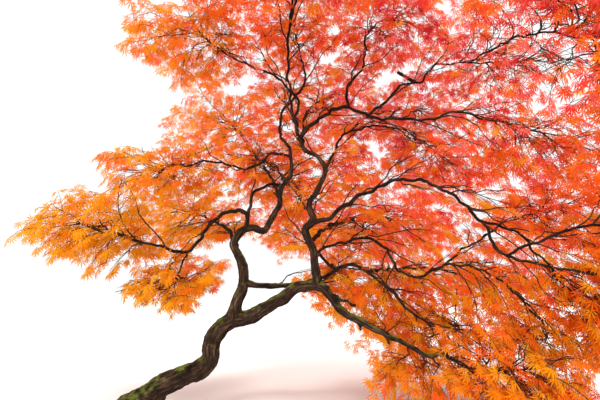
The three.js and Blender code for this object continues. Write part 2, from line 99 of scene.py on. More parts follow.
# Limbs: the limb that each leaves, its radius at its foot and its tip, and the bends of its axis
Limb = namedtuple("Limb", "name parent radius bends")
LIMBS = [
    Limb("trunk", None, (0.097, 0.074), [(-0.12, 0, -0.16), (0, 0, 0.01), (0.19, 0, 0.19),
        (0.37, 0, 0.29), (0.54, 0, 0.345), (0.61, 0.02, 0.43), (0.632, 0.04, 0.55), (0.65, 0.06, 0.65),
        (0.72, 0.08, 0.735), (0.84, 0.097, 0.785)]),
    Limb("right_leader", "trunk", (0.07, 0.046), [(0.84, 0.097, 0.785), (0.97, 0.09, 0.805),
        (1.11, 0.06, 0.885), (1.25, 0.03, 0.96), (1.45, 0, 1.085), (1.61, 0, 1.105),
        (1.73, -0.025, 1.055)]),
    Limb("left_leader", "trunk", (0.056, 0.018), [(0.82, 0.095, 0.78), (0.85, 0.11, 0.96),
        (0.905, 0.15, 1.13), (0.89, 0.18, 1.27), (0.82, 0.205, 1.43), (0.79, 0.22, 1.53),
        (0.845, 0.245, 1.65), (0.96, 0.262, 1.69), (1.08, 0.27, 1.67), (1.15, 0.268, 1.77),
        (1.24, 0.26, 1.92), (1.265, 0.272, 2.13), (1.36, 0.29, 2.27), (1.35, 0.32, 2.58)]),
    Limb("centre_leader", "right_leader", (0.044, 0.018), [(1.625, 0, 1.1), (1.61, 0.02, 1.24),
        (1.59, 0.05, 1.43), (1.505, 0.08, 1.64), (1.59, 0.082, 1.74), (1.55, 0.1, 1.92),
        (1.66, 0.12, 2.09), (1.72, 0.155, 2.29), (1.64, 0.172, 2.43), (1.5, 0.195, 2.54),
        (1.44, 0.205, 2.68)]),
    Limb("left_arm", "left_leader", (0.023, 0.011), [(0.905, 0.258, 1.68), (0.89, 0.255, 1.83),
        (0.68, 0.2, 1.835), (0.54, 0.11, 1.68), (0.41, -0.05, 1.43), (0.19, -0.18, 1.445),
        (-0.06, -0.25, 1.51)]),
    Limb("left_drop", "left_arm", (0.011, 0.008), [(0.4, -0.06, 1.42), (0.35, -0.06, 1.33),
        (0.32, -0.03, 1.24)]),
    Limb("back_bough", "left_arm", (0.018, 0.011), [(0.9, 0.257, 1.8), (0.96, 0.31, 2.06),
        (1.25, 0.48, 2.21), (1.43, 0.9, 2.27), (1.5, 1.65, 2.24)]),
    Limb("upper_left_arm", "left_leader", (0.015, 0.008), [(1.355, 0.305, 2.48), (1.13, 0.292, 2.5),
        (1.02, 0.27, 2.4), (0.88, 0.24, 2.34), (0.51, 0.05, 2.35), (0.32, -0.06, 2.26)]),
    Limb("high_left_leader", "left_leader", (0.018, 0.009), [(1.35, 0.32, 2.58), (1.24, 0.36, 2.73),
        (1.26, 0.4, 3.03), (1.5, 0.44, 3.37), (1.5, 0.48, 3.6), (1.45, 0.5, 3.88)]),
    Limb("lower_right_bough", "right_leader", (0.04, 0.012), [(1.69, -0.015, 1.075), (1.79, -0.05, 0.95),
        (1.89, -0.08, 0.85), (2.09, -0.15, 0.73), (2.3, -0.24, 0.64), (2.56, -0.34, 0.52),
        (2.64, -0.365, 0.545), (2.83, -0.42, 0.455)]),
    Limb("cross_bough", "left_leader", (0.03, 0.01), [(0.895, 0.145, 1.13), (1.09, 0.25, 1.11),
        (1.37, 0.35, 1.11), (1.72, 0.39, 1.205), (1.87, 0.38, 1.295), (1.98, 0.36, 1.32),
        (2.12, 0.335, 1.26), (2.37, 0.305, 1.09), (2.5, 0.29, 0.915), (2.78, 0.28, 0.735),
        (3.02, 0.28, 0.68)]),
    Limb("right_bough", "cross_bough", (0.017, 0.009), [(1.83, 0.38, 1.275), (1.69, 0.388, 1.39),
        (1.69, 0.38, 1.5), (1.86, 0.34, 1.535), (2.15, 0.26, 1.57), (2.33, 0.18, 1.48), (2.44, 0.1, 1.24),
        (2.62, 0.035, 1.18), (2.8, -0.02, 1.285), (3.11, -0.1, 1.27), (3.34, -0.15, 1.12),
        (3.57, -0.19, 0.84)]),
    Limb("upper_right_bough", "centre_leader", (0.021, 0.009), [(1.45, 0.203, 2.65), (1.56, 0.18, 2.77),
        (1.8, 0.12, 2.935), (1.98, 0.06, 2.94), (2.18, -0.02, 2.805), (2.42, -0.1, 2.745),
        (2.73, -0.22, 2.69), (2.97, -0.33, 2.715), (3.18, -0.4, 2.62)]),
    Limb("high_left_bough", "centre_leader", (0.018, 0.008), [(1.44, 0.205, 2.68), (1.39, 0.26, 2.88),
        (1.45, 0.31, 3.04), (1.39, 0.35, 3.2), (1.19, 0.35, 3.41), (0.78, 0.15, 3.52),
        (0.6, 0.02, 3.59)]),
    Limb("high_right_bough", "upper_right_bough", (0.017, 0.008), [(1.975, 0.062, 2.94),
        (1.975, 0.09, 3.19), (2.15, 0.15, 3.45), (2.19, 0.23, 3.85)]),
    Limb("shoulder_bough", "upper_right_bough", (0.014, 0.008), [(2.16, -0.01, 2.82), (2.41, 0, 3.03),
        (2.53, 0.02, 3.17), (2.72, 0, 3.19), (2.86, -0.04, 3.35), (3.26, -0.18, 3.31)]),
    Limb("inner_right_bough", "centre_leader", (0.015, 0.008), [(1.715, 0.15, 2.29), (1.84, 0.2, 2.54),
        (1.94, 0.235, 2.71), (2.2, 0.27, 2.79), (2.53, 0.34, 2.83), (2.75, 0.45, 2.76)]),
    Limb("sweeping_bough", "centre_leader", (0.021, 0.015), [(1.575, 0.082, 1.725), (1.8, 0.03, 1.8),
        (1.93, -0.05, 1.9), (2.18, -0.2, 2.01), (2.4, -0.35, 2.06)]),
    Limb("falling_bough", "sweeping_bough", (0.015, 0.01), [(2.4, -0.35, 2.06), (2.64, -0.51, 1.97),
        (2.95, -0.72, 1.6), (3.05, -0.8, 1.33), (3.3, -0.96, 1.235), (3.48, -1.06, 1.19)]),
    Limb("side_bough", "falling_bough", (0.012, 0.008), [(2.94, -0.715, 1.61), (3.19, -0.69, 1.545),
        (3.4, -0.67, 1.34), (3.56, -0.64, 1.13)]),
    Limb("low_back_left_bough", "left_leader", (0.022, 0.01), [(0.815, 0.208, 1.44), (0.7, 0.48, 1.68),
        (0.45, 0.9, 1.85), (0.18, 1.33, 2)]),
    Limb("high_back_left_bough", "left_leader", (0.017, 0.009), [(1.25, 0.265, 2), (1.11, 0.6, 2.35),
        (0.85, 0.95, 2.75), (0.7, 1.15, 3.02)]),
    Limb("inner_back_bough", "left_leader", (0.013, 0.008), [(1.255, 0.268, 2.06), (1.23, 0.48, 2.33),
        (1.12, 0.7, 2.5), (1.06, 0.86, 2.58)]),
    Limb("low_back_right_bough", "centre_leader", (0.022, 0.01), [(1.55, 0.065, 1.53), (1.8, 0.5, 1.75),
        (2.15, 1, 1.9), (2.55, 1.5, 2)]),
    Limb("high_back_bough", "centre_leader", (0.016, 0.009), [(1.49, 0.197, 2.55), (1.5, 0.5, 2.96),
        (1.64, 0.85, 3.32), (1.72, 1.12, 3.5)]),
    Limb("high_back_right_bough", "inner_right_bough", (0.012, 0.008), [(2, 0.245, 2.735), (2.2, 0.5, 3),
        (2.48, 0.76, 3.18), (2.7, 0.93, 3.29)]),
    Limb("low_far_right_bough", "cross_bough", (0.016, 0.009), [(2.14, 0.333, 1.25), (2.6, 0.62, 1.29),
        (3.1, 0.93, 1.28), (3.5, 1.18, 1.22)]),
    Limb("far_right_bough", "right_bough", (0.012, 0.008), [(2.81, -0.02, 1.29), (3.15, 0.12, 1.5),
        (3.55, 0.25, 1.72), (3.85, 0.33, 1.84)]),
    Limb("high_front_bough", "centre_leader", (0.016, 0.009), [(1.44, 0.205, 2.68), (1.35, -0.06, 3.12),
        (1.35, -0.45, 3.55), (1.43, -0.76, 3.9)]),
    Limb("front_bough", "high_front_bough", (0.012, 0.008), [(1.355, -0.48, 3.58), (1.47, -0.9, 3.66),
        (1.6, -1.42, 3.54)]),
    Limb("front_right_bough", "shoulder_bough", (0.011, 0.008), [(3.18, -0.15, 3.32), (3.29, -0.6, 3.26),
        (3.35, -1.05, 3.08), (3.41, -1.35, 2.88)]),
    Limb("low_front_right_bough", "falling_bough", (0.012, 0.008), [(3.07, -0.81, 1.31),
        (3.35, -1.25, 1.48), (3.6, -1.56, 1.45)]),
]
THICK_LIMBS = ["trunk", "right_leader", "left_leader", "centre_leader", "lower_right_bough", "cross_bough"]
BARE_LIMBS = THICK_LIMBS[:3]  # without side shoots
COLLAR = 0.9  # share by which a thin bough swells where it leaves a thick limb
COLLAR_FADE = 1.5  # times the bough's radius
FLARE_RADIUS = 0.085  # how much wider the trunk is at the ground than above its root flare
FLARE_HEIGHT = 0.11  # the height over which the root flare fades
FLARE_LOBES = 5  # root buttresses round the trunk
LOBE_DEPTH = 0.3  # share of the flare by which a buttress stands out
AXIS_STEP = 0.012  # between the points of a limb's axis
KNUCKLE_LENGTH = 0.1  # along a limb, between its swollen places
KNUCKLE_ROWS = 370  # how far apart limbs of different radius lie in the noise that swells them
KNUCKLE_SWELL = (0.2, 0.07)  # share by which limbs swell and shrink: thin ones and thick ones
WANDER = (0.028, 0.016)  # how far a limb strays from its smooth axis, thin and thick
WANDER_LENGTH = (0.12, 0.19)
WANDER_ROWS = 5.3  # between two limbs in the noise that bends them
WANDER_LAYERS = ((1, 1, 1.7), (2.3, 0.5, 9.1))  # how much finer, how strong, and the place in the noise

# Masses of leaves: the limb that each hangs on, the middle of the oval space that it keeps to, half the
# widths of that, and the share of its side twigs kept where the photo shows sky between sprays
Mass = namedtuple("Mass", "name on middle half density", defaults=[1])
MASSES = [
    Mass("left_leaves", "left_arm", (-0.56, 0, 1.68), (0.9, 0.82, 0.52), 0.76),
    Mass("left_hanging_leaves", "left_drop", (0.23, 0.04, 1.14), (0.64, 0.6, 0.38), 0.68),
    Mass("upper_left_leaves", "upper_left_arm", (0.06, -0.02, 2.25), (0.74, 0.7, 0.4), 0.64),
    Mass("high_left_leaves", "high_left_bough", (0.4, -0.15, 3.66), (0.84, 0.82, 0.5)),
    Mass("top_leaves", "high_left_leader", (1.38, 0.48, 4.18), (0.88, 0.88, 0.52)),
    Mass("high_right_leaves", "high_right_bough", (2.52, 0.15, 4.02), (0.88, 0.88, 0.52)),
    Mass("shoulder_leaves", "shoulder_bough", (3.68, -0.28, 3.3), (0.88, 0.88, 0.5), 0.85),
    Mass("upper_right_leaves", "upper_right_bough", (3.8, -0.42, 2.4), (0.86, 0.8, 0.52), 0.85),
    Mass("inner_right_leaves", "inner_right_bough", (3.18, 0.8, 2.62), (0.86, 0.82, 0.5)),
    Mass("falling_leaves", "falling_bough", (4.05, -1.15, 1.3), (0.85, 0.74, 0.64)),
    Mass("side_leaves", "side_bough", (4.12, -0.42, 0.88), (0.8, 0.74, 0.58)),
    Mass("right_leaves", "right_bough", (3.88, 0.33, 0.62), (0.82, 0.78, 0.52)),
    Mass("low_right_leaves", "lower_right_bough", (3.1, -0.7, 0.47), (0.74, 0.66, 0.43)),
    Mass("low_middle_leaves", "cross_bough", (2.92, 0.76, 0.78), (0.86, 0.78, 0.52)),
    Mass("back_left_leaves", "low_back_left_bough", (-0.15, 1.75, 2.15), (0.98, 0.9, 0.75), 0.65),
    Mass("high_back_left_leaves", "high_back_left_bough", (0.45, 1.4, 3.32), (0.94, 0.9, 0.62), 0.8),
    Mass("inner_back_leaves", "inner_back_bough", (1.02, 1.18, 2.68), (0.74, 0.6, 0.44)),
    Mass("back_leaves", "back_bough", (1.5, 2.35, 2.25), (0.98, 0.88, 0.8)),
    Mass("high_back_leaves", "high_back_bough", (1.85, 1.62, 3.62), (0.98, 0.92, 0.64)),
    Mass("back_right_leaves", "low_back_right_bough", (3.08, 2.05, 2), (0.98, 0.92, 0.8)),
    Mass("high_back_right_leaves", "high_back_right_bough", (3.18, 1.3, 3.34), (0.94, 0.92, 0.6)),
    Mass("low_far_right_leaves", "low_far_right_bough", (4.08, 1.48, 1.18), (0.86, 0.86, 0.7)),
    Mass("far_right_leaves", "far_right_bough", (4.35, 0.48, 1.95), (0.76, 0.88, 0.68), 0.8),
    Mass("high_front_leaves", "high_front_bough", (1.5, -1.05, 4.12), (0.96, 0.9, 0.46)),
    Mass("front_leaves", "front_bough", (1.65, -2, 3.32), (0.94, 0.78, 0.46)),
    Mass("front_right_leaves", "front_right_bough", (3.52, -1.85, 2.58), (0.84, 0.8, 0.62)),
    Mass("low_front_right_leaves", "low_front_right_bough", (3.98, -1.95, 1.35), (0.74, 0.7, 0.68)),
]
SPACE_MARGIN = 0.005  # share of a mass's size left free between two masses
DOME_MIDDLE = np.array((1.65, 0.15, 0.5))  # sprays lie against the dome about this point
UP = np.array((0.0, 0.0, 1.0))
GOLDEN_TURN = math.pi * (3 - math.sqrt(5))

# Twigs: how many, how long and how thick, from a mass's stem to its finest twigs
STEM_RADIUS = 0.009
STEM_CROOK = 0.025
STEM_SWING = 0.2  # share of its length by which a stem swings out
STEM_START = 0.03  # the stretch on which it goes straight on from its bough
STEM_STEP = 0.04
REACH_TWIGS = 18
REACH = (0.4, 0.92)  # how far out in their mass's space they end
REACH_FEET = (0.08, 0.98)  # share of the stem's length at the first and the last
REACH_LEAN = 0.9
FOOT_SHARE = 0.75  # of the stem's radius there
REACH_TIP = 0.0028
REACH_CROOK = 0.03
SIDE_TWIGS = 7
SIDE_FEET = (0.2, 1)
SIDE_LENGTH = (0.2, 0.36)
SIDE_SHORTENING = (1.1, 0.4)  # times that at the twig's foot, and how much less at its tip
SIDE_LEAN = (0.5, 1.1)
SIDE_DROOP = 0.15
SIDE_RADIUS = (0.0032, 0.0018)
FINE_TWIGS = 4
FINE_FEET = (0.25, 0.95)
FINE_LENGTH = (0.06, 0.13)
FINE_LEAN = (0.5, 1.2)
STRAIGHT_ON = 20  # the lean of the one at the tip
FINE_DROOP = 0.3
FINE_RADIUS = 0.0014
EDGE = (0.92, 1.14)  # how far out in their mass's space sprays stop, dealt out at random: 1 is its skin
BOW = 0.45  # share of a line's length over which it keeps to its first heading
CROOKS = (2, 4, 7)  # bends along a twig
CROOK_PHASE = 6.3  # radians, about a full turn
CROOK_STRAY = 0.25
SPACING_STRAY = 0.6  # share of the space between two twigs
SPRAY_OUTWARD = 0.8  # how much a spray faces out from the dome
SPRAY_TILT = ((-0.5, -0.5, 0.5), (0.5, 0.5, 1))  # the least and the most that is added to that, mostly up

# Side shoots of the boughs
SHOOT_FROM = 0.22  # along a bough, where its first one leaves
SHOOT_END = 0.05  # from a bough's tip, where none leaves
SHOOT_SPACING = (0.12, 0.22)
SHOOT_CROWDING = {  # share of that spacing on boughs with many
    "cross_bough": 0.7, "right_bough": 0.8, "lower_right_bough": 0.5, "low_far_right_bough": 0.7,
    "low_back_right_bough": 0.6,
}
SHOOT_LENGTH = (0.3, 0.75)
SHOOT_RADIUS = 0.0085
SHOOT_TIP = 0.0026
SHOOT_SHARE = 0.6  # of its bough's radius, at most, where a shoot leaves
SHOOT_CROOK = 0.035
SHOOT_TURN = 0.9  # up or down, at most
SHOOT_LEAN = (1.0, 2.2)
SHOOT_DRIFTS = ((0.1, 0.2, 0.15), (0.1, 0.2, -0.1))  # of shoots that leave above
SHOOT_DIVIDE = 2  # this height, and below
SHOOT_SPRAYS = 4
SHOOT_FORKS = 3  # thinner shoots that leave each one
FORK_FEET = (0.3, 0.9)  # share of the shoot's length
FORK_LENGTH = (0.1, 0.22)
FORK_LEAN = (0.7, 1.3)
FORK_STRAY = 0.05
FORK_CROOK = 0.01
HANGING_SPRAYS = 9
HANGING_AIM = 0.5  # how much such a shoot leaves towards its end
HANGING_RISE = 0.4  # and upwards
SKIRT = ((-1.5, 1.0), (0.9, 1.4), (1.6, 1.35), (1.9, 0.6), (5.0, 0.45))  # x, lowest height of a shoot's end
SHOOT_CLEARANCE = 3.9  # a side shoot in the picture is bare where its end is nearer the camera than this
SHOOT_FORWARD = 0.1  # or comes forward more than this
PICTURE_MARGIN = 20  # pixels beyond the photograph's edge

# Leaves: seven narrow lobes in a fan, on a stalk
LEAF_LENGTH = (0.05, 0.088)
LEAF_STALK = 0.4  # share of the longest lobe
LEAF_STALK_HALF = 0.012
LEAF_PLACES = (0.4, 0.7, 1, 1)  # along a fine twig
LEAF_LEANS = (0.6, 0.6, 1.0, 1.0)
LEAF_LEAN_STRAY = 0.4
LOBE_TURNS = [math.radians(turn) for turn in (-108, -70, -35, 0, 35, 70, 108)]
LOBE_LENGTHS = [0.5, 0.78, 0.94, 1.0, 0.94, 0.78, 0.5]
LOBE_HALF_WIDTH = 0.078  # share of the longest lobe
LOBE_WIDEST = 0.45  # share of the lobe's length
LOBE_SAG = 0.25  # share of its droop at that place
BACK_LOBE = (0.2, 0.8)  # where a lobe that points back starts, and its half width as a share of the others'
LEAF_DROOP = 0.35  # how far a lobe's tip hangs below the leaf's heart, as a share of its length
LEAF_HANG = (0.2, 0.9)  # how far down leaves point
LEAF_TURN = 1.2
LEAF_STRAY = 0.35
MAX_PIECE_TRIANGLES = 190000

# Evening out of the leaves as the photograph shows them
CELL = 10  # pixels
TWIG_COVER = 0.0055  # square metres of leaf on a fine twig, as seen
FULL_COVER = ((0, 1.9), (160, 2.3), (280, 3.3), (400, 3.4))  # pixels down, times leaves may cover a cell
AIRY_ACROSS = ((360, 0), (450, 0.2), (550, 0.55), (600, 0.6))  # share of that taken off at the upper right,
AIRY_DOWN = ((60, 1), (130, 0.6), (200, 0))  # by pixels across and by pixels down
LOWER_EDGE = (  # of the crown: pixels across and down
    (0, 234), (20, 243), (60, 256), (130, 294), (185, 316), (205, 290), (240, 258), (275, 255), (300, 292),
    (330, 318), (345, 400), (600, 460),
)
EDGE_STRAY = 7  # pixels
NEAREST = 0.3  # twigs nearer than this to where the photo was taken aren't counted

# Leaves left out before the limbs that the photo shows
HIDDEN_LIMBS = ("back", "front", "sweeping")  # words in the other limbs' names
CLEARED = 0.88  # share of the leaves close to a limb
CLEAR_FADE = (0.015, 0.11)  # beside a limb, where the share fades to none
CLEAR_DEPTH = 0.04  # leaves less far in front of a limb stay

# Autumn tints from amber to crimson: name, record slot, base colour, and redness from 0 to 1
Tint = namedtuple("Tint", "name slot colour redness")
TINTS = [
    Tint("amber", "amber_leaves", (0.8, 0.37, 0.005), 0.0),
    Tint("yellow_orange", "amber_leaves", (0.83, 0.28, 0.005), 0.16),
    Tint("orange", "orange_leaves", (0.85, 0.205, 0.007), 0.34),
    Tint("deep_orange", "orange_leaves", (0.86, 0.15, 0.01), 0.48),
    Tint("vermilion", "vermilion_leaves", (0.84, 0.105, 0.02), 0.6),
    Tint("rose", "rose_leaves", (0.88, 0.17, 0.125), 0.72),
    Tint("scarlet", "rose_leaves", (0.8, 0.05, 0.034), 0.86),
    Tint("crimson", "rose_leaves", (0.58, 0.018, 0.03), 1.06),
]
REDDER_ACROSS = (-1.4, 3.4)  # from x to x, the stretch over which the crown gets redder
REDDER_NEAR = (-0.2, 1.2)  # and the one near the trunk
REDDER_LOW = (0.3, 1.8)  # from height to height, low down
REDDER_HIGH = (1.2, 3.4)  # and high up
REDNESS = (-0.07, 0.05, 0.22, 0.16, 0.08, 0.24)  # at the lower left, and added by one stretch or two
SPRAY_SPREAD = 0.13  # how far a spray's redness strays from its place's
TWIG_SPREAD = 0.15  # and a fine twig's from its spray's
LEAST_MIX = 0.6  # share of both in the amber of the lower left; the tints are more mixed where it is redder


# Curves and tubes
SPAN_SAMPLES = 24  # between two bends


def catmull_rom(points):
    """The source's centripetal curve through these points, as closely spaced points."""
    points = [np.array(p, float) for p in points]
    padded = [2 * points[0] - points[1], *points, 2 * points[-1] - points[-2]]
    path = []
    for a, b, c, d in zip(padded, padded[1:], padded[2:], padded[3:]):
        dt = [max(math.sqrt(np.linalg.norm(q - p)), 1e-4) for p, q in ((a, b), (b, c), (c, d))]
        start = dt[1] * ((b - a) / dt[0] - (c - a) / (dt[0] + dt[1]) + (c - b) / dt[1])
        end = dt[1] * ((c - b) / dt[1] - (d - b) / (dt[1] + dt[2]) + (d - c) / dt[2])
        for i in range(SPAN_SAMPLES):
            t = i / SPAN_SAMPLES
            path.append(b + start * t + (3 * (c - b) - 2 * start - end) * t * t
                        + (2 * (b - c) + start + end) * t ** 3)
    path.append(points[-1])
    return np.array(path)


def evenly_spaced(path, step):
    """The same path as points about a step apart, with their distances along it."""
    lengths = np.concatenate([[0], np.cumsum(np.linalg.norm(np.diff(path, axis=0), axis=1))])
    count = max(2, int(math.ceil(lengths[-1] / step)) + 1)
    distances = np.linspace(0, lengths[-1], count)
    return np.stack([np.interp(distances, lengths, path[:, i]) for i in range(3)], axis=1), distances


def read_off(graph, values):
    """The height of a graph, given as pairs, at these values."""
    return np.interp(values, *zip(*graph))


def unit(vectors):
    return vectors / np.maximum(np.linalg.norm(vectors, axis=-1, keepdims=True), 1e-9)


def across_frames(path):
    """Two directions across the path at each point, turning as little as they can along it."""
    tangents = unit(np.gradient(path, axis=0))
    seed = np.eye(3)[np.argmin(np.abs(tangents[0]))]
    sides = [unit(np.cross(tangents[0], seed))]
    for tangent in tangents[1:]:
        side = sides[-1] - tangent * np.dot(sides[-1], tangent)
        sides.append(unit(side))
    sides = np.array(sides)
    return sides, np.cross(tangents, sides)


def circle(sides):
    return np.arange(sides) * 2 * math.pi / sides


def rings(first, second, sides):
    """The ways out from each point to all sides, from two directions across."""
    angles = circle(sides)[:, None]
    return np.cos(angles) * first[..., None, :] + np.sin(angles) * second[..., None, :]


def bands(lines, points, sides):
    """The faces between the rings along many lines."""
    starts = (np.arange(lines)[:, None] * points + np.arange(points - 1))[..., None] * sides
    here = np.arange(sides)
    after = (here + 1) % sides
    corners = [starts + here, starts + after, starts + sides + after, starts + sides + here]
    return np.stack(corners, axis=-1).reshape(-1, 4)


def tube(path, radii, sides):
    """Vertices and faces of a closed tube; radii is one radius a point, or one for each point and side."""
    radii = np.broadcast_to(np.reshape(radii, (len(path), -1)), (len(path), sides))
    vertices = (path[:, None, :] + rings(*across_frames(path), sides) * radii[:, :, None]).reshape(-1, 3)
    caps = [list(range(sides))[::-1], list(range((len(path) - 1) * sides, len(path) * sides))]
    return vertices, bands(1, len(path), sides), caps


def prisms(paths, thick, thin, sides):
    """Open tubes round many lines at once."""
    tangents = unit(np.gradient(paths, axis=1))
    overall = np.abs(paths[:, -1] - paths[:, 0])
    first = unit(np.cross(tangents, np.eye(3)[np.argmin(overall, axis=1)][:, None, :]))
    radii = np.linspace(thick, thin, paths.shape[1])[:, None, None]
    vertices = paths[:, :, None, :] + rings(first, np.cross(tangents, first), sides) * radii
    return vertices.reshape(-1, 3), bands(*paths.shape[:2], sides)


# Meshes
def placed(name, data):
    """An object in the scene that shows a mesh, a lamp or a camera."""
    made = bpy.data.objects.new(name, data)
    bpy.context.scene.collection.objects.link(made)
    return made


def mesh_object(name, vertices, faces, material, smooth=True):
    mesh = bpy.data.meshes.new(name)
    mesh.from_pydata(vertices.tolist(), [], faces, shade_flat=not smooth)
    mesh.materials.append(material)
    return placed(name, mesh)


class Batch:
    """Tubes gathered into one mesh."""

    def __init__(self):
        self.vertices, self.quads, self.caps, self.count = [], [], [], 0

    def add(self, vertices, quads, caps=()):
        self.vertices.append(vertices)
        self.quads.append(quads + self.count)
        self.caps += [[corner + self.count for corner in cap] for cap in caps]
        self.count += len(vertices)

    def piece(self, name, material):
        faces = np.concatenate(self.quads).tolist() + self.caps
        return mesh_object(name, np.concatenate(self.vertices), faces, material)


# Materials
BARK_STRETCH = (1, 1, 0.13)  # of its fissures along the limb
# colours from the dark fissures to the pale ridges: the bark's own tone, with painted shade deepening the
# fissures and painted highlight lightening the ridges
BARK_TONES_WITH_PAINTED_SHADE_AND_HIGHLIGHT = ((0.36, (0.014, 0.006, 0.004, 1)), (0.46, (0.036, 0.017, 0.009, 1)),
              (0.55, (0.078, 0.041, 0.022, 1)), (0.66, (0.2, 0.122, 0.075, 1)))
BARK_GRAIN = 0.25  # height of the grain as a share of the fissures'
TWIG_TONES = ((0, (0.02, 0.007, 0.004, 1)), (1, (0.07, 0.03, 0.016, 1)))
MOSS_COLOUR = (0.15, 0.2, 0.018, 1)
MOSS_TOP = 1.25  # moss thins out above this height
MOSS_FADE = 0.3
SCAR_COLOUR = (0.3, 0.28, 0.25, 1)
SCAR = (1.265, 0.205, 2.175)  # the middle of the grey cut on the left leader's front
SCAR_RADIUS = 0.034
SCAR_CLEAR = 0.8  # share of that within which it is all grey
SHINE = 0.15  # of bark and leaves
LIGHT_THROUGH = 0.42  # share of a leaf's light that shines through it
THROUGH_GAIN = 1.15  # how much brighter its tint is there, and
THROUGH_MORE = 0.02
LIMB_PLACE = "limb_place"


class Surface:
    """A new material, with the nodes that are added to it."""

    def __init__(self, name):
        self.material = bpy.data.materials.new(name)
        self.material.use_nodes = True
        self.nodes = self.material.node_tree.nodes
        self.shader = self.nodes["Principled BSDF"]

    def give(self, node, inputs):
        """Sets a node's inputs, or links those that are given another node's output."""
        for name, value in inputs.items():
            if isinstance(value, bpy.types.NodeSocket):
                self.material.node_tree.links.new(value, node.inputs[name])
            else:
                node.inputs[name].default_value = value

    def add(self, kind, output, inputs=(), **settings):
        """The named output of a new node."""
        node = self.nodes.new("ShaderNode" + kind)
        for name, value in settings.items():
            setattr(node, name, value)
        self.give(node, dict(inputs))
        return node.outputs[output]

    def noise(self, place, **inputs):
        named = {name.capitalize(): value for name, value in inputs.items()}
        return self.add("TexNoise", "Fac", {"Vector": place, **named})

    def spread(self, value, low, high, to_low=0, to_high=1):
        """The value, spread from one range to another and kept within it."""
        return self.add("MapRange", "Result", {"Value": value, "From Min": low, "From Max": high,
                                               "To Min": to_low, "To Max": to_high})

    def tones(self, value, stops):
        """The colour for a value, from a list of values with their colours."""
        node = self.nodes.new("ShaderNodeValToRGB")
        self.give(node, {"Fac": value})
        ramp = node.color_ramp.elements
        for end, (position, colour) in zip(ramp, (stops[0], stops[-1])):
            end.position = position
            end.color = colour
        for position, colour in stops[1:-1]:
            ramp.new(position).color = colour
        return node.outputs["Color"]

    def mix(self, share, first, second, blend="MIX"):
        return self.add("Mix", "Result", {"Factor": share, "A": first, "B": second},
                        data_type="RGBA", blend_type=blend)

    def product(self, first, second):
        return self.add("Math", "Value", {0: first, 1: second}, operation="MULTIPLY")

    def bump(self, height, strength, distance):
        return self.add("Bump", "Normal", {"Height": height, "Strength": strength, "Distance": distance})

    def finished(self, inputs):
        self.give(self.shader, inputs)
        return self.material


def bark_material(name, brightness):
    """Brown bark in long fissures and ridges along the limb, with moss on its upper side. The fissure tones
    are partly the bark's own colour and partly painted shade that darkens the fissures and painted
    highlight that pales the ridges.
    """
    bark = Surface(name)
    place = bark.add("TexCoord", "Object")
    limb_place = bark.add("Attribute", "Vector", attribute_name=LIMB_PLACE)
    stretched = bark.add("Mapping", "Vector", {"Vector": limb_place, "Scale": BARK_STRETCH})
    fissures = bark.noise(stretched, scale=62, detail=7, roughness=0.62, distortion=0.9)
    grain = bark.noise(stretched, scale=230, detail=5, roughness=0.6)
    uneven = bark.noise(place, scale=7, detail=6, roughness=0.6)
    patches = bark.spread(uneven, low=0.35, high=0.65, to_low=0.35 * brightness, to_high=brightness)
    # the fissure tones paint shade into the fissures and a highlight onto the ridges, over the bark's own
    # tone
    colour = bark.mix(1, bark.tones(fissures, BARK_TONES_WITH_PAINTED_SHADE_AND_HIGHLIGHT), patches, "MULTIPLY")
    colour = bark.mix(moss_amount(bark, place), colour, MOSS_COLOUR)
    colour = bark.mix(scar_amount(bark, place), colour, SCAR_COLOUR)
    height = bark.add("Math", "Value", {0: grain, 1: BARK_GRAIN, 2: fissures}, operation="MULTIPLY_ADD")
    relief = bark.bump(height, strength=0.9, distance=0.02)
    return bark.finished({"Base Color": colour, "Roughness": 0.8, "Specular IOR Level": SHINE,
                          "Normal": relief})


def moss_amount(bark, place):
    """How mossy the bark is: most where it faces up, low on the tree, and in patches."""
    facing = bark.add("NewGeometry", "Normal")
    upward = bark.spread(bark.add("SeparateXYZ", "Z", {"Vector": facing}), low=0.3, high=0.95)
    low = bark.spread(bark.add("SeparateXYZ", "Z", {"Vector": place}), MOSS_TOP + MOSS_FADE, MOSS_TOP)
    patchy = bark.spread(bark.noise(place, scale=14, detail=5), low=0.42, high=0.6)
    return bark.product(bark.product(upward, low), patchy)


def scar_amount(bark, place):
    """Where the wood lies bare and grey round the scar."""
    gap = bark.add("VectorMath", "Value", {0: place, 1: SCAR}, operation="DISTANCE")
    return bark.spread(gap, SCAR_RADIUS, SCAR_CLEAR * SCAR_RADIUS)


def twig_material():
    """Dark, smooth young bark, browner in patches."""
    bark = Surface("twig_bark")
    patches = bark.noise(bark.add("TexCoord", "Object"), scale=12)
    colour = bark.tones(patches, TWIG_TONES)
    return bark.finished({"Base Color": colour, "Roughness": 0.7, "Specular IOR Level": SHINE})


def leaf_material(tint):
    """A thin leaf of one tint that light shines through, with fine veins in its bump and gloss."""
    leaf = Surface("leaf_" + tint.name)
    veins = leaf.noise(leaf.add("TexCoord", "Object"), scale=90)
    lit_through = [min(1, THROUGH_GAIN * channel + THROUGH_MORE) for channel in tint.colour]
    through = leaf.add("BsdfTranslucent", "BSDF", {"Color": (*lit_through, 1)})
    face = leaf.shader.outputs["BSDF"]
    both = leaf.add("MixShader", "Shader", {"Fac": LIGHT_THROUGH, 1: face, 2: through})
    leaf.give(leaf.nodes["Material Output"], {"Surface": both})
    return leaf.finished({"Base Color": (*tint.colour, 1), "Specular IOR Level": SHINE,
                          "Roughness": leaf.spread(veins, low=0, high=1, to_low=0.4, to_high=0.7),
                          "Normal": leaf.bump(veins, strength=0.3, distance=0.002)})


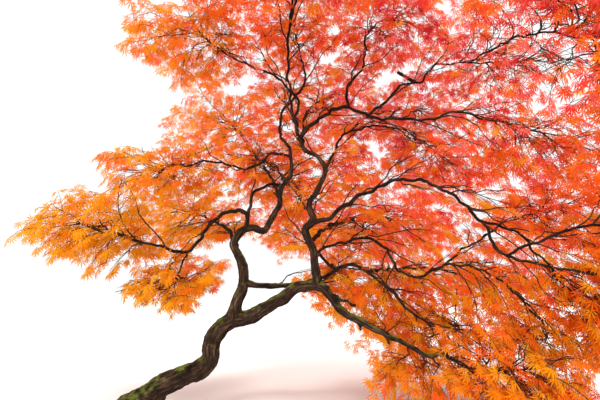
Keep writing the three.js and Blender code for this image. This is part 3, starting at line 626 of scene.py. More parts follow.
# Wood
VOXEL = 0.007
SMOOTHINGS = 3
TRUNK_SIDES = 20
STUB_SIDES = 10
THIN_SIDES = 8
FISSURE_WIDTH = 0.016
FISSURE_LENGTH = 0.11
FISSURE_DEPTH = 0.006
FISSURE_EDGE = 0.28  # where the noise reaches a ridge's full height
RIDGE_MIDDLE = 0.6  # the height of a ridge that leaves the skin where it is
FULL_GIRTH = 0.07  # limbs thinner than this have flatter bark
LUMPS = ((0.11, 0.012), (0.045, 0.006), (0.02, 0.003))  # their size, and how far they stand out
THIN_LUMPS = 0.12  # share of a thin bough's radius
THIN_LUMP_STEPS = (28, 2.1)  # in the noise: for each metre along the bough, and each side round it
Stub = namedtuple("Stub", "limb share reach radius")
STUBS = [  # broken side boughs: on a limb at this share of its length
    Stub("lower_right_bough", 0.06, (0.24, -0.02, -0.1), 0.017),
    Stub("lower_right_bough", 0.3, (0.03, -0.02, -0.1), 0.013),
    Stub("lower_right_bough", 0.48, (0.05, -0.02, -0.1), 0.012),
    Stub("centre_leader", 0.42, (-0.08, -0.04, 0.06), 0.014),
    Stub("left_leader", 0.72, (-0.07, -0.03, 0.05), 0.013),
    Stub("trunk", 0.55, (-0.04, -0.12, 0.05), 0.02),
    Stub("left_leader", 0.8, (-0.03, -0.06, 0.0), 0.019),
]
STUB_TAPER = (1.9, 1.4, 1.1, 1, 1, 0.95, 1.05, 0.85)
STUB_CROOK = 0.012
SNAGS = [  # the same on thin boughs
    Stub("shoulder_bough", 0.48, (-0.19, -0.05, 0.09), 0.017),
    Stub("high_right_bough", 0.3, (0.07, -0.05, 0.05), 0.009),
    Stub("upper_right_bough", 0.55, (0.05, -0.03, 0.07), 0.009),
]
SNAG_TAPER = (1.5, 1.15, 1, 1, 0.95, 1.05, 0.8)


class Axis:
    """A limb's axis, its radius along it, and its tip, as the source works them out."""

    def __init__(self, limb, axes):
        self.name = limb.name
        thick = limb.name in THICK_LIMBS
        parent = axes.get(limb.parent)
        bends = [np.array(bend, float) for bend in limb.bends]
        if parent:
            near = np.argmin(np.linalg.norm(parent.path - bends[0], axis=1))
            bends[0] = parent.path[near]
        path, self.distances = evenly_spaced(catmull_rom(bends), AXIS_STEP)
        self.path = wandering(path, self.distances, thick, len(axes))
        foot, tip = limb.radius
        self.radii = foot + (tip - foot) * (self.distances / self.distances[-1])
        if parent:
            buried = parent.radii[near]
            free = np.maximum(self.distances - buried, 0)
            collar = COLLAR * max(0, 1 - foot / buried)
            self.radii = self.radii * (1 + collar * np.exp(-free / (COLLAR_FADE * foot)))
        spots = [Vector((d / KNUCKLE_LENGTH, KNUCKLE_ROWS * foot, 0.5)) for d in self.distances]
        knuckles = np.array([noise.noise(spot) for spot in spots])
        self.radii = self.radii * (1 + KNUCKLE_SWELL[thick] * knuckles)
        self.tip = self.path[-1]
        self.heading = unit(self.path[-1] - self.path[-4])


def wandering(path, distances, thick, number):
    """The path with small crooks, which fade out at both its ends."""
    length = WANDER_LENGTH[thick]
    fade = np.clip(np.minimum(distances, distances[-1] - distances) / length, 0, 1)[:, None]
    drift = [sum((strong * noise.noise_vector(Vector((finer * d / length, WANDER_ROWS * number, layer)))
                  for finer, strong, layer in WANDER_LAYERS), Vector()) for d in distances]
    return path + WANDER[thick] * fade * np.array(drift)


def grow_axes():
    axes = {}
    for limb in LIMBS:
        axes[limb.name] = Axis(limb, axes)
    return axes


def flared(axis, sides):
    """The trunk's radii with its root flare, one for each point and side."""
    lobes = 1 + LOBE_DEPTH * np.cos(FLARE_LOBES * circle(sides))
    fade = np.exp(-np.maximum(axis.path[:, 2], 0) / FLARE_HEIGHT)
    return axis.radii[:, None] + FLARE_RADIUS * fade[:, None] * lobes[None, :]


def spot_on(path, share):
    """The place and the heading at this share of a path."""
    (place,), (heading,) = along(path, np.array([share]))
    return place, heading


def stub_tubes(stubs, axes, taper, crook, sides):
    """Where each broken side bough starts, and its tube."""
    for stub in stubs:
        start, _ = spot_on(axes[stub.limb].path, stub.share)
        path = np.linspace(start, start + stub.reach, len(taper))
        path[:, 1:] += crook * (np.arange(len(taper)) % 3)[:, None]
        yield start, tube(path, stub.radius * np.array(taper), sides)


def thick_wood(axes, material):
    """The trunk and thick limbs fused into one skin with bark relief, cut flat at the ground."""
    batch = Batch()
    for name in THICK_LIMBS:
        axis = axes[name]
        radii = flared(axis, TRUNK_SIDES) if name == "trunk" else axis.radii
        batch.add(*tube(axis.path[::2], radii[::2], TRUNK_SIDES))
    for _, stub in stub_tubes(STUBS, axes, STUB_TAPER, STUB_CROOK, STUB_SIDES):
        batch.add(*stub)
    rough = batch.piece("rough_wood", material)
    remesh = rough.modifiers.new("fuse", "REMESH")
    remesh.mode = "VOXEL"
    remesh.voxel_size = VOXEL
    rough.modifiers.new("soften", "SMOOTH").iterations = SMOOTHINGS
    fused = bpy.data.meshes.new_from_object(rough.evaluated_get(bpy.context.evaluated_depsgraph_get()))
    bpy.data.objects.remove(rough)
    roughen_bark(fused, axes)
    cut_at_ground(fused)
    fused.shade_smooth()
    return placed("trunk_and_leaders", fused)


def roughen_bark(mesh, axes):
    """Moves the skin in and out: long fissures along each limb, and lumps."""
    samples = [(axes[name], i) for name in THICK_LIMBS for i in range(0, len(axes[name].path), 2)]
    nearest = finder_of([axis.path[i] for axis, i in samples])
    frames = {name: across_frames(axes[name].path) for name in THICK_LIMBS}
    moved, limb_places = [], []
    for place, normal in [(vertex.co.copy(), vertex.normal.copy()) for vertex in mesh.vertices]:
        axis, i = samples[nearest.find(place)[1]]
        first, second = frames[axis.name]
        offset = place - Vector(axis.path[i])
        x, y, _ = Vector((offset.dot(Vector(first[i])), offset.dot(Vector(second[i])), 0))
        spot = Vector((x / FISSURE_WIDTH, y / FISSURE_WIDTH, axis.distances[i] / FISSURE_LENGTH))
        ridge = min(1, abs(noise.noise(spot)) / FISSURE_EDGE) - RIDGE_MIDDLE
        lump = sum(height * noise.noise(place / size) for size, height in LUMPS)
        girth = min(1, axis.radii[i] / FULL_GIRTH)
        moved.append(place + normal * girth * (FISSURE_DEPTH * ridge + lump))
        limb_places.append((x, y, axis.distances[i]))
    mesh.vertices.foreach_set("co", np.array(moved, np.float32).ravel())
    keep_limb_places(mesh, limb_places)


def finder_of(places):
    """Finds the nearest of these places."""
    finder = kdtree.KDTree(len(places))
    for number, place in enumerate(places):
        finder.insert(place, number)
    finder.balance()
    return finder


def keep_limb_places(mesh, places):
    """Where each vertex lies in its limb's own frame: two measures across the limb and one along it."""
    attribute = mesh.attributes.new(LIMB_PLACE, "FLOAT_VECTOR", "POINT")
    attribute.data.foreach_set("vector", np.array(places, np.float32).ravel())


def cut_at_ground(mesh):
    work = bmesh.new()
    work.from_mesh(mesh)
    everything = work.verts[:] + work.edges[:] + work.faces[:]
    cut = bmesh.ops.bisect_plane(work, geom=everything, plane_no=(0, 0, 1), clear_inner=True)
    rim = [edge for edge in cut["geom_cut"] if isinstance(edge, bmesh.types.BMEdge)]
    bmesh.ops.holes_fill(work, edges=rim, sides=0)
    work.to_mesh(mesh)
    work.free()


def thin_boughs(axes, material):
    """Every other bough, with its swollen foot sunk in the limb it leaves."""
    batch = Batch()
    limb_places = []
    turns = circle(THIN_SIDES)
    ring = np.stack([np.cos(turns), np.sin(turns), np.zeros(THIN_SIDES)], axis=1)
    along_it, round_it = THIN_LUMP_STEPS
    for name, axis in axes.items():
        if name in THICK_LIMBS:
            continue
        radii, distances = axis.radii[::2, None], axis.distances[::2]
        limb_places.append((ring * radii[:, None] + distances[:, None, None] * UP).reshape(-1, 3))
        lumps = [[noise.noise(Vector((d * along_it, side * round_it, len(name))))
                  for side in range(THIN_SIDES)] for d in distances]
        batch.add(*tube(axis.path[::2], radii * (1 + THIN_LUMPS * np.array(lumps)), THIN_SIDES))
    for start, snag in stub_tubes(SNAGS, axes, SNAG_TAPER, 0, THIN_SIDES):
        batch.add(*snag)
        limb_places.append(snag[0] - start)
    piece = batch.piece("boughs", material)
    keep_limb_places(piece.data, np.concatenate(limb_places))
    return piece


# Spaces
MIDDLES = np.array([mass.middle for mass in MASSES])
HALVES = np.array([mass.half for mass in MASSES])
BOX_LOW = cad_low + np.array((0.05, 0.05, 0.16))  # the leaves' reach stays within the model's box
BOX_HIGH = cad_high - np.array((0.03, 0.03, 0.02))


def in_box(points, _=None):
    """Which points lie in the box that the crown keeps to; no limit of a mass counts here."""
    return np.all((points > BOX_LOW) & (points < BOX_HIGH), axis=-1)


def stays_in(own, points, limit):
    """Which points lie in a mass's own space, up to the limit and further in than in any other's."""
    far_out = np.linalg.norm((points[..., None, :] - MIDDLES) / HALVES, axis=-1)
    mine = far_out[..., own].copy()
    far_out[..., own] = np.inf
    return (mine <= limit) & (far_out.min(axis=-1) > mine + SPACE_MARGIN) & in_box(points)


# Twigs
def along(path, shares):
    """Places and headings at these shares of a path."""
    spots = np.clip(shares, 0, 1) * (len(path) - 1)
    before = np.minimum(spots.astype(int), len(path) - 2)
    steps = path[before + 1] - path[before]
    return path[before] + steps * (spots - before)[..., None], unit(steps)


def bent_lines(starts, ends, headings, points):
    """Lines that leave their starts along these headings and bend to their ends."""
    reach = np.linalg.norm(ends - starts, axis=-1, keepdims=True)
    controls = starts + headings * BOW * reach
    t = np.linspace(0, 1, points)[:, None]
    first, control, last = (places[..., None, :] for places in (starts, controls, ends))
    return (1 - t) ** 2 * first + 2 * t * (1 - t) * control + t ** 2 * last


def spray_normals(places, draw):
    """The way sprays face: out from the dome, and up."""
    outward = unit(places - DOME_MIDDLE)
    return unit(SPRAY_OUTWARD * outward + draw.uniform(*SPRAY_TILT, places.shape))


def side_headings(headings, normals, sides, leans):
    across = unit(np.cross(headings, normals)) * sides[..., None]
    return unit(across + leans[..., None] * headings)


class Canopy:
    """Twigs and leaves of the whole crown, as they grow."""

    def __init__(self):
        self.twigs = Batch()
        self.fine_twigs = Batch()
        self.leafed = []  # fine twigs: their starts, ends, normals and tints
        self.trails = []  # trailing shoots

    def add_twigs(self, paths, radii, sides=3):
        self.twigs.add(*prisms(paths, *radii, sides))


def reach_places(mass, draw):
    """The places that a mass's twigs reach for, spread evenly through its space."""
    numbers = np.arange(REACH_TWIGS)
    up = 1 - 2 * (numbers + 0.5) / REACH_TWIGS
    level = np.sqrt(1 - up * up)
    angle = 2 * math.pi * draw.random() + numbers * GOLDEN_TURN
    ways = np.stack([np.cos(angle) * level, np.sin(angle) * level, up], axis=1)
    return ways * mass.half * draw.uniform(*REACH, (REACH_TWIGS, 1)) + mass.middle


def mass_stem(mass, axis):
    start = axis.tip
    middle = np.array(mass.middle)
    bend = (start + middle) / 2 + axis.heading * (STEM_SWING * np.linalg.norm(middle - start))
    bends = [start, start + axis.heading * STEM_START, bend, middle]
    return evenly_spaced(catmull_rom(bends), STEM_STEP)[0]


def crooked(path, draw, amount):
    """The path with gentle bends to all sides, which fade out at its ends."""
    t = np.linspace(0, 1, len(path))[:, None]
    sway = sum(np.sin(math.pi * bends * t + draw.uniform(0, CROOK_PHASE, 3)) / bends for bends in CROOKS)
    stray = draw.uniform(-CROOK_STRAY, CROOK_STRAY, path.shape)
    return path + amount * np.sin(math.pi * t) ** 0.5 * (sway + stray)


def grow_mass(own, axes, canopy):
    mass = MASSES[own]
    draw = np.random.default_rng(MASS_SEED * (own + 1))
    axis = axes[mass.on]
    tip_radius = axis.radii[-1]
    stem = crooked(mass_stem(mass, axis), draw, STEM_CROOK)
    canopy.add_twigs(stem[None], (tip_radius, STEM_RADIUS), sides=6)
    places = reach_places(mass, draw)
    places = places[np.argsort(np.linalg.norm(places - stem[0], axis=1))]
    shares = np.linspace(*REACH_FEET, REACH_TWIGS)
    starts, headings = along(stem, shares)
    feet = FOOT_SHARE * (tip_radius + (STEM_RADIUS - tip_radius) * shares)
    leaving = unit(REACH_LEAN * headings + unit(places - starts))
    for path, foot in zip(bent_lines(starts, places, leaving, points=10), feet):
        path = crooked(path, draw, REACH_CROOK)
        inside = np.append(stays_in(own, path, EDGE[1]), False)
        inside[:3] = True
        path = path[:np.argmin(inside)]
        if len(path) > 3:
            canopy.add_twigs(path[None], (foot, REACH_TIP), sides=4)
            count = round(SIDE_TWIGS * mass.density + draw.uniform(-0.5, 0.5))
            grow_sprays(path, count, draw, canopy, lambda points, limit: stays_in(own, points, limit))


def spaced_shares(first, last, count, draw):
    """Shares of a twig's length, about evenly spaced."""
    return first + (last - first) * (np.arange(count) + SPACING_STRAY * draw.random(count)) / count


def either_side(count):
    return np.where(np.arange(count) % 2, 1.0, -1.0)


def grow_sprays(path, count, draw, canopy, may_grow):
    """Side twigs along a twig, with fine twigs on them and leaves on those."""
    shares = spaced_shares(*SIDE_FEET, count, draw)
    starts, headings = along(path, shares)
    normals = spray_normals(starts, draw)
    leaving = side_headings(headings, normals, either_side(count), draw.uniform(*SIDE_LEAN, count))
    longest, shorter = SIDE_SHORTENING
    lengths = (draw.uniform(*SIDE_LENGTH, count) * (longest - shorter * shares))[:, None]
    lines = bent_lines(starts, starts + (leaving - SIDE_DROOP * UP) * lengths, leaving, points=4)
    limits = draw.uniform(*EDGE, (count, 1))
    kept = may_grow(lines[:, 1:], limits).all(axis=1)
    canopy.add_twigs(lines[kept], SIDE_RADIUS)
    for line, normal, limit in zip(lines[kept], normals[kept], limits[kept]):
        grow_fine_twigs(line, normal, limit, draw, canopy, may_grow)


def grow_fine_twigs(line, normal, limit, draw, canopy, may_grow):
    """Fine twigs to either side of a side twig, and one straight on from its tip."""
    starts, headings = along(line, np.append(spaced_shares(*FINE_FEET, FINE_TWIGS, draw), 1))
    leans = np.append(draw.uniform(*FINE_LEAN, FINE_TWIGS), STRAIGHT_ON)
    leaving = side_headings(headings, normal, either_side(FINE_TWIGS + 1), leans)
    ends = starts + (leaving - FINE_DROOP * UP) * draw.uniform(*FINE_LENGTH, (FINE_TWIGS + 1, 1))
    kept = may_grow(ends, limit)
    starts, ends = starts[kept], ends[kept]
    if not len(starts):
        return
    redness = redness_at(line[-1])
    mix = LEAST_MIX + redness
    redness += mix * SPRAY_SPREAD * draw.standard_normal()
    tints = nearest_tints(redness + mix * TWIG_SPREAD * draw.standard_normal(len(starts)))
    canopy.leafed.append((starts, ends, np.broadcast_to(normal, starts.shape), tints))


# Long shoots that hang behind the leaders and fill out the front: their bough, and their ends
HANGING_SHOOTS = [
    ("cross_bough", [(2.15, 0.93, 0.95)]),
    ("low_far_right_bough", [(2.05, 1.15, 0.72), (2.4, 1.05, 0.62)]),
    ("right_bough", [(2.2, 0.6, 0.72)]),
    ("cross_bough", [(1.95, 0.75, 1.15)]),
    ("inner_right_bough", [(2.43, 1.25, 2.39)]),
    ("low_back_right_bough", [(2.13, 1.58, 1.78), (2.64, 1.19, 1.67), (1.7, 1.5, 1.66), (2.3, 1.0, 1.5)]),
    ("inner_right_bough", [(2.2, 0.9, 2.2)]),
    ("low_back_right_bough", [(1.75, 1.45, 1.12), (2.02, 1.34, 0.95)]),
    ("cross_bough", [(2.5, 0.95, 0.3), (2.33, 1.03, 0.45)]),
    ("lower_right_bough", [(2.75, 0.25, 0.3), (2.23, -0.28, 0.37), (2.37, -0.37, 0.31), (2.54, -0.36, 0.27),
        (2.45, -0.1, 0.32)]),
    ("shoulder_bough", [(3.27, -0.09, 3.97), (3.0, 0.12, 3.94), (3.54, -0.16, 3.81)]),
    ("high_front_bough", [(0.55, -1.25, 3.6), (0.75, -1.65, 3.45), (0.35, -0.95, 3.75),
        (0.15, -1.35, 3.35)]),
    ("front_bough", [(2.4, -1.6, 3.5), (2.35, -2.1, 3.25), (0.85, -2.15, 3.2), (2.45, -1.15, 3.75)]),
    ("front_right_bough", [(2.8, -1.3, 3.3), (2.75, -1.9, 3.1), (2.95, -0.9, 3.6)]),
    ("front_bough", [(2.55, -1.75, 3.4)]),
    ("front_right_bough", [(2.6, -2.15, 2.95), (2.7, -1.6, 3.35), (2.95, -2.2, 2.85)]),
    ("high_left_leader", [(1.1, 0.15, 3.95)]),
    ("high_back_bough", [(1.6, 0.4, 3.95)]),
    ("low_front_right_bough", [(3.6, -1.3, 2.0)]),
    ("left_arm", [(0.0, -0.75, 1.95), (0.05, 0.85, 1.85)]),
]

# Long thin shoots in plain sight, most of them trailing from the boughs on the right: the bough, and for
# each the share of its length at which it leaves, its end, and how many side twigs it bears
TRAILING_SHOOTS = [
    ("left_leader", [(0.81, (1.79, 0.21, 2.38), 0), (0.87, (1.98, 0.24, 2.5), 2),
        (0.8, (1.52, 0.15, 2.06), 0)]),
    ("right_bough", [(0.67, (3.08, -0.1, 0.74), 4), (0.69, (3.16, -0.14, 0.96), 3),
        (0.73, (3.3, -0.24, 0.91), 3), (0.87, (4.09, -0.28, 0.86), 5), (0.94, (3.91, -0.27, 0.6), 4)]),
    ("side_bough", [(0.84, (3.84, -0.7, 0.93), 3), (0.42, (3.74, -0.77, 1.28), 4)]),
    ("falling_bough", [(0.91, (3.67, -1.01, 0.95), 3), (0.4, (3.37, -0.66, 1.76), 4)]),
    ("lower_right_bough", [(0.83, (2.88, -0.44, 0.18), 3), (0.88, (3.03, -0.46, 0.49), 2),
        (0.92, (3.04, -0.45, 0.21), 3), (0.48, (2.36, -0.28, 0.88), 0), (0.47, (2.1, -0.28, 0.89), 0)]),
    ("cross_bough", [(0.98, (3.35, 0.13, 0.38), 4), (0.93, (3.3, 0.18, 0.63), 3),
        (0.9, (3.01, 0.21, 0.47), 3)]),
    ("upper_right_bough", [(0.93, (3.92, -0.31, 2.5), 5), (0.79, (3.35, -0.28, 2.36), 4)]),
    ("shoulder_bough", [(0.81, (3.74, -0.27, 3.35), 5)]),
]
TRAILING_RADIUS = 0.008
TRAILING_SHARE = 0.7  # of its bough's radius, at most
TRAILING_LEAN = 1.4  # how much it leaves along its bough
TRAILING_RISE = 0.15  # and upwards
TRAILING_CROOK = 0.02
TRAILING_NARROWER = 0.35  # share of the limbs' clear width that they get


def grow_trailing_shoots(axes, canopy):
    draw = np.random.default_rng(TRAILING_SEED)
    for name, shoots in TRAILING_SHOOTS:
        for share, end, side_twigs in shoots:
            start, heading = spot_on(axes[name].path, share)
            leaving = unit(TRAILING_LEAN * heading + unit(end - start) + TRAILING_RISE * UP)
            path = crooked(bent_lines(start, np.array(end), leaving, points=14), draw, TRAILING_CROOK)
            thickness = np.interp(share, (0, 1), axes[name].radii[[0, -1]])
            foot = min(TRAILING_RADIUS, TRAILING_SHARE * thickness)
            canopy.add_twigs(path[None], (foot, SHOOT_TIP), sides=5)
            canopy.trails.append(path)
            if side_twigs:
                grow_sprays(path, side_twigs, draw, canopy, in_box)


# Side shoots straight from the boughs
def in_picture(place):
    """Whether the photograph's frame takes in this place, or nearly."""
    across, down, depth = np.ravel(in_photo(place[None]))
    beyond = max(-across, across - PHOTO_WIDTH, -down, down - PHOTO_HEIGHT)
    return depth > 0 and beyond < PICTURE_MARGIN


def grow_side_shoots(axes, canopy):
    for number, (name, axis) in enumerate(axes.items()):
        if name in BARE_LIMBS:
            continue
        draw = np.random.default_rng(SHOOT_SEED + number)
        distance = SHOOT_FROM
        side = 1.0
        while distance < axis.distances[-1] - SHOOT_END:
            start, heading = spot_on(axis.path, distance / axis.distances[-1])
            turn = draw.uniform(-SHOOT_TURN, SHOOT_TURN)
            across = unit(np.cross(heading, UP)) * side * math.cos(turn) + UP * math.sin(turn)
            leaving = unit(across + draw.uniform(*SHOOT_LEAN) * heading)
            drift = np.where(start[2] > SHOOT_DIVIDE, *SHOOT_DRIFTS)
            end = start + unit(leaving + drift) * draw.uniform(*SHOOT_LENGTH)
            foot = min(SHOOT_SHARE * np.interp(distance, axis.distances, axis.radii), SHOOT_RADIUS)
            if in_box(end) and end[2] >= read_off(SKIRT, end[0]):
                far = np.linalg.norm(end - CAMERA_PLACE) > SHOOT_CLEARANCE
                leafy = not in_picture(end) or (far and end[1] > start[1] - SHOOT_FORWARD)
                grow_shoot(start, end, leaving, foot, draw, canopy, SHOOT_SPRAYS * leafy)
            distance += draw.uniform(*SHOOT_SPACING) * SHOOT_CROWDING.get(name, 1)
            side = -side


def grow_hanging_shoots(axes, canopy):
    draw = np.random.default_rng(HANGING_SEED)
    for name, ends in HANGING_SHOOTS:
        path = axes[name].path
        for end in ends:
            nearest = int(np.argmin(np.linalg.norm(path - end, axis=1)[:-2]))
            start, after = path[nearest:nearest + 2]
            leaving = unit(unit(after - start) + HANGING_AIM * unit(end - start) + HANGING_RISE * UP)
            grow_shoot(start, np.array(end), leaving, SHOOT_RADIUS, draw, canopy, HANGING_SPRAYS)


def grow_shoot(start, end, leaving, foot, draw, canopy, sprays):
    """A thin, crooked shoot with a few forks, and this many side twigs with leaves."""
    path = crooked(bent_lines(start, end, leaving, points=8), draw, SHOOT_CROOK)
    canopy.add_twigs(path[None], (foot, SHOOT_TIP), sides=4)
    roots, headings = along(path, draw.uniform(*FORK_FEET, SHOOT_FORKS))
    normals = spray_normals(roots, draw)
    ways = side_headings(headings, normals, either_side(SHOOT_FORKS), draw.uniform(*FORK_LEAN, SHOOT_FORKS))
    ends = roots + ways * draw.uniform(*FORK_LENGTH, (SHOOT_FORKS, 1))
    ends += draw.uniform(-FORK_STRAY, FORK_STRAY, (SHOOT_FORKS, 3))
    forks = bent_lines(roots, ends, ways, points=5)
    forks[:, 1:-1] += draw.uniform(-FORK_CROOK, FORK_CROOK, (SHOOT_FORKS, 3, 3))
    canopy.add_twigs(forks, SIDE_RADIUS)
    if sprays:
        grow_sprays(path, sprays, draw, canopy, in_box)


# Tints
def smooth_step(low, high, value):
    share = min(1, max(0, (value - low) / (high - low)))
    return share * share * (3 - 2 * share)


def redness_at(place):
    """Amber at the lower left, redder to the right and towards the top right."""
    x, _, z = place
    across, near = smooth_step(*REDDER_ACROSS, x), smooth_step(*REDDER_NEAR, x)
    lifted, raised = smooth_step(*REDDER_LOW, z), smooth_step(*REDDER_HIGH, z)
    return np.dot(REDNESS, (1, near, across, across * lifted, raised, across * raised))


def nearest_tints(redness):
    levels = np.array([tint.redness for tint in TINTS])
    return np.argmin(np.abs(levels - redness[:, None]), axis=1)


# Leaves
def leaf_shape():
    """One leaf in its own frame: X along it, Y across, Z its face; its longest lobe is 1 long."""
    heart = np.array((LEAF_STALK, 0, 0))
    vertices = [heart, (0, LEAF_STALK_HALF, 0), (0, -LEAF_STALK_HALF, 0)]
    faces = [(0, 1, 2)]
    for turn, length in zip(LOBE_TURNS, LOBE_LENGTHS):
        ahead = np.array((math.cos(turn), math.sin(turn), 0))
        aside = np.array((-math.sin(turn), math.cos(turn), 0)) * LOBE_HALF_WIDTH
        drop = np.array((0, 0, LEAF_DROOP * length))
        tip = heart + ahead * length - drop
        first = len(vertices)
        if abs(turn) > math.pi / 2:
            base, narrower = BACK_LOBE
            foot = heart + ahead * length * base
            vertices += [foot - aside * narrower, tip, foot + aside * narrower]
            faces.append((first, first + 1, first + 2))
        else:
            widest = heart + ahead * length * LOBE_WIDEST - drop * LOBE_SAG
            vertices += [widest - aside, tip, widest + aside]
            faces += [(0, first, first + 1), (0, first + 1, first + 2)]
    return np.array(vertices, float), np.array(faces)


def in_photo(places):
    """Where places fall in the photograph, in pixels, and how deep before the camera."""
    right, ahead, above = (places - CAMERA_PLACE).T
    depths = ahead * math.cos(CAMERA_PITCH) + above * math.sin(CAMERA_PITCH)
    rises = above * math.cos(CAMERA_PITCH) - ahead * math.sin(CAMERA_PITCH)
    per_metre = FOCAL_PIXELS / np.maximum(depths, 0.1)
    return PHOTO_WIDTH / 2 + right * per_metre, PHOTO_HEIGHT / 2 - rises * per_metre, depths


def evened_out(places, draw):
    """Which fine twigs stay: fewer where many overlap in the photograph, so that the sky shows through."""
    across, down, depths = in_photo(places)
    columns, rows = PHOTO_WIDTH // CELL, PHOTO_HEIGHT // CELL
    column, row = (across // CELL).astype(int), (down // CELL).astype(int)
    seen = (depths > NEAREST) & (column >= 0) & (column < columns) & (row >= 0) & (row < rows)
    cover = np.zeros((rows + 2, columns + 2))
    area = TWIG_COVER * (FOCAL_PIXELS / depths[seen] / CELL) ** 2
    np.add.at(cover, (row[seen] + 1, column[seen] + 1), area)
    spread = sum(cover[i:i + rows, j:j + columns] for i in range(3) for j in range(3)) / 9
    airy = read_off(AIRY_ACROSS, across[seen]) * read_off(AIRY_DOWN, down[seen])
    full = read_off(FULL_COVER, down[seen]) * (1 - airy)
    kept = np.ones(len(places), bool)
    kept[seen] = draw.random(seen.sum()) < full / np.maximum(spread[row[seen], column[seen]], 0.01)
    lower_edge = read_off(LOWER_EDGE, across) + draw.uniform(-EDGE_STRAY, EDGE_STRAY, len(places))
    return kept & ~(seen & (down > lower_edge))


def clear_of_limbs(places, axes, trails, draw):
    """Which leaves stay: most that would hide a limb seen from where the photo was taken are left out."""
    shown = [axes[name] for name in axes if not any(word in name for word in HIDDEN_LIMBS)]
    trails = np.concatenate([evenly_spaced(trail, AXIS_STEP)[0] for trail in trails])
    limb_places = np.concatenate([axis.path for axis in shown] + [trails]) - CAMERA_PLACE
    limb_radii = np.concatenate([axis.radii for axis in shown] + [np.full(len(trails), SHOOT_TIP)])
    widths = np.repeat((1, TRAILING_NARROWER), (len(limb_places) - len(trails), len(trails)))
    limb_depths = np.linalg.norm(limb_places, axis=1)
    nearest = finder_of(unit(limb_places))
    chances = draw.random(len(places))
    depths = np.linalg.norm(places - CAMERA_PLACE, axis=1)
    kept = np.ones(len(places), bool)
    for leaf, (way, depth) in enumerate(zip(unit(places - CAMERA_PLACE), depths)):
        _, number, gap = nearest.find(way)
        if depth < limb_depths[number] - CLEAR_DEPTH:
            beyond = (gap * limb_depths[number] - limb_radii[number]) / widths[number]
            kept[leaf] = chances[leaf] > CLEARED * (1 - smooth_step(*CLEAR_FADE, beyond))
    return kept


def grow_leaves(canopy, axes):
    """The fine twigs that stay, with a leaf to either side of each and two at its tip."""
    draw = np.random.default_rng(LEAF_SEED)
    columns = [np.concatenate(column) for column in zip(*canopy.leafed)]
    kept = evened_out(columns[1], draw)
    starts, ends, normals, tints = (column[kept] for column in columns)
    canopy.fine_twigs.add(*prisms(np.stack([starts, ends], axis=1), FINE_RADIUS, FINE_RADIUS, sides=3))
    roots = starts[:, None] + (ends - starts)[:, None] * np.array(LEAF_PLACES)[:, None]
    shape = roots.shape[:2]
    headings = np.broadcast_to(unit(ends - starts)[:, None], roots.shape)
    sides = np.broadcast_to(-either_side(shape[1]), shape)
    leans = LEAF_LEANS + draw.uniform(-LEAF_LEAN_STRAY, LEAF_LEAN_STRAY, shape)
    ways = side_headings(headings, normals[:, None], sides, leans)
    ways = ways + draw.uniform(-LEAF_STRAY, LEAF_STRAY, roots.shape)
    ways = unit(ways - draw.uniform(*LEAF_HANG, (*shape, 1)) * UP)
    facing = normals[:, None] + LEAF_TURN * (draw.random(roots.shape) - 0.5)
    sizes = draw.uniform(*LEAF_LENGTH, shape).ravel()
    roots, ways, facing = (column.reshape(-1, 3) for column in (roots, ways, facing))
    kept = clear_of_limbs(roots + ways * sizes[:, None], axes, canopy.trails, draw)
    return [column[kept] for column in (np.repeat(tints, shape[1]), roots, ways, facing, sizes)]


def leaf_pieces(tints, roots, ways, facing, sizes):
    shape, faces = leaf_shape()
    per_piece = MAX_PIECE_TRIANGLES // len(faces)
    aside = unit(np.cross(facing, ways))
    basis = np.stack([ways, aside, np.cross(ways, aside)], axis=1) * sizes[:, None, None]
    vertices = roots[:, None, :] + np.einsum("vk,nkj->nvj", shape, basis)
    made = []
    for number, tint in enumerate(TINTS):
        chosen = np.flatnonzero(tints == number)
        material = leaf_material(tint)
        for part, first in enumerate(range(0, len(chosen), per_piece)):
            chunk = vertices[chosen[first:first + per_piece]]
            indices = faces[None] + (np.arange(len(chunk)) * len(shape))[:, None, None]
            name = f"leaves_{tint.name}_{part + 1}"
            triangles = indices.reshape(-1, 3).tolist()
            piece = mesh_object(name, chunk.reshape(-1, 3), triangles, material, smooth=False)
            made.append(piece)
    return made


# Stage
SUN_ANGLE = math.radians(14)
SUNS = [  # where each shines from, its strength and its colour
    ("key", (-0.5, -1, 1.5), 1.3, (1.0, 0.97, 0.92)),
    ("back", (0.8, 1, 1.3), 1.8, (1.0, 0.97, 0.92)),
    ("fill", (-0.4, -1, 0.08), 2.6, (1.0, 0.98, 0.95)),
]
SKY = ((1, 1, 1, 1), 1.06)  # its colour and strength
FLOOR_RADIUS = 90
FLOOR_COLOUR = (0.8, 0.79, 0.78, 1)


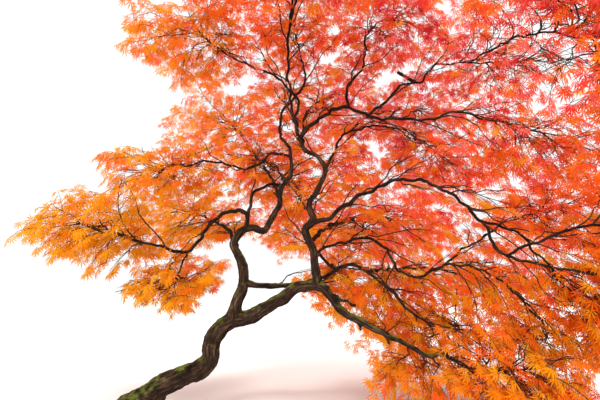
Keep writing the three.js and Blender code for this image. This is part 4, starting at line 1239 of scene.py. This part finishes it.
def studio():
    """A pale floor under a white sky, with three suns."""
    mesh = bpy.data.meshes.new("floor")
    work = bmesh.new()
    bmesh.ops.create_circle(work, cap_ends=True, segments=96, radius=FLOOR_RADIUS)
    work.to_mesh(mesh)
    work.free()
    mesh.materials.append(Surface("pale_floor").finished({"Base Color": FLOOR_COLOUR, "Roughness": 0.9}))
    world = bpy.data.worlds.new("studio")
    bpy.context.scene.world = world
    world.use_nodes = True
    sky = world.node_tree.nodes["Background"].inputs
    sky["Color"].default_value, sky["Strength"].default_value = SKY
    for name, towards, strength, colour in SUNS:
        light = bpy.data.lights.new(name, "SUN")
        light.energy = strength
        light.angle = SUN_ANGLE
        light.color = colour
        placed(name, light).rotation_euler = Vector(towards).to_track_quat("Z", "Y").to_euler()
    return placed("floor", mesh)


def camera():
    lens = bpy.data.cameras.new("camera")
    lens.sensor_width = SENSOR_WIDTH_MM
    lens.lens = FOCAL_PIXELS / PHOTO_WIDTH * SENSOR_WIDTH_MM
    lens.clip_end = 500
    seen = placed("camera", lens)
    seen.location = CAMERA_PLACE
    seen.rotation_euler = (math.pi / 2 + CAMERA_PITCH, 0, 0)
    bpy.context.scene.camera = seen


# The tree
axes = grow_axes()
wood = thick_wood(axes, bark_material("trunk_bark", brightness=0.75))
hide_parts(*THICK_LIMBS)
boughs = thin_boughs(axes, bark_material("bough_bark", brightness=0.42))
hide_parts(*(limb.name for limb in LIMBS if limb.name not in THICK_LIMBS))

canopy = Canopy()
for own in range(len(MASSES)):
    grow_mass(own, axes, canopy)
grow_side_shoots(axes, canopy)
grow_hanging_shoots(axes, canopy)
grow_trailing_shoots(axes, canopy)
leaves = leaf_pieces(*grow_leaves(canopy, axes))
young_bark = twig_material()
twigs = canopy.twigs.piece("twigs", young_bark)
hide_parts(*(mass.name for mass in MASSES))
fine_twigs = canopy.fine_twigs.piece("fine_twigs", young_bark)
for piece in (wood, boughs, twigs, fine_twigs, *leaves):
    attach(piece, "root")

studio()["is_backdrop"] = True
camera()
bpy.context.scene.view_settings.view_transform = "Standard"

low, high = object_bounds()
sizes = {"cad": [list(map(float, cad_low)), list(map(float, cad_high))],
         "dressed": [list(map(float, low)), list(map(float, high))]}
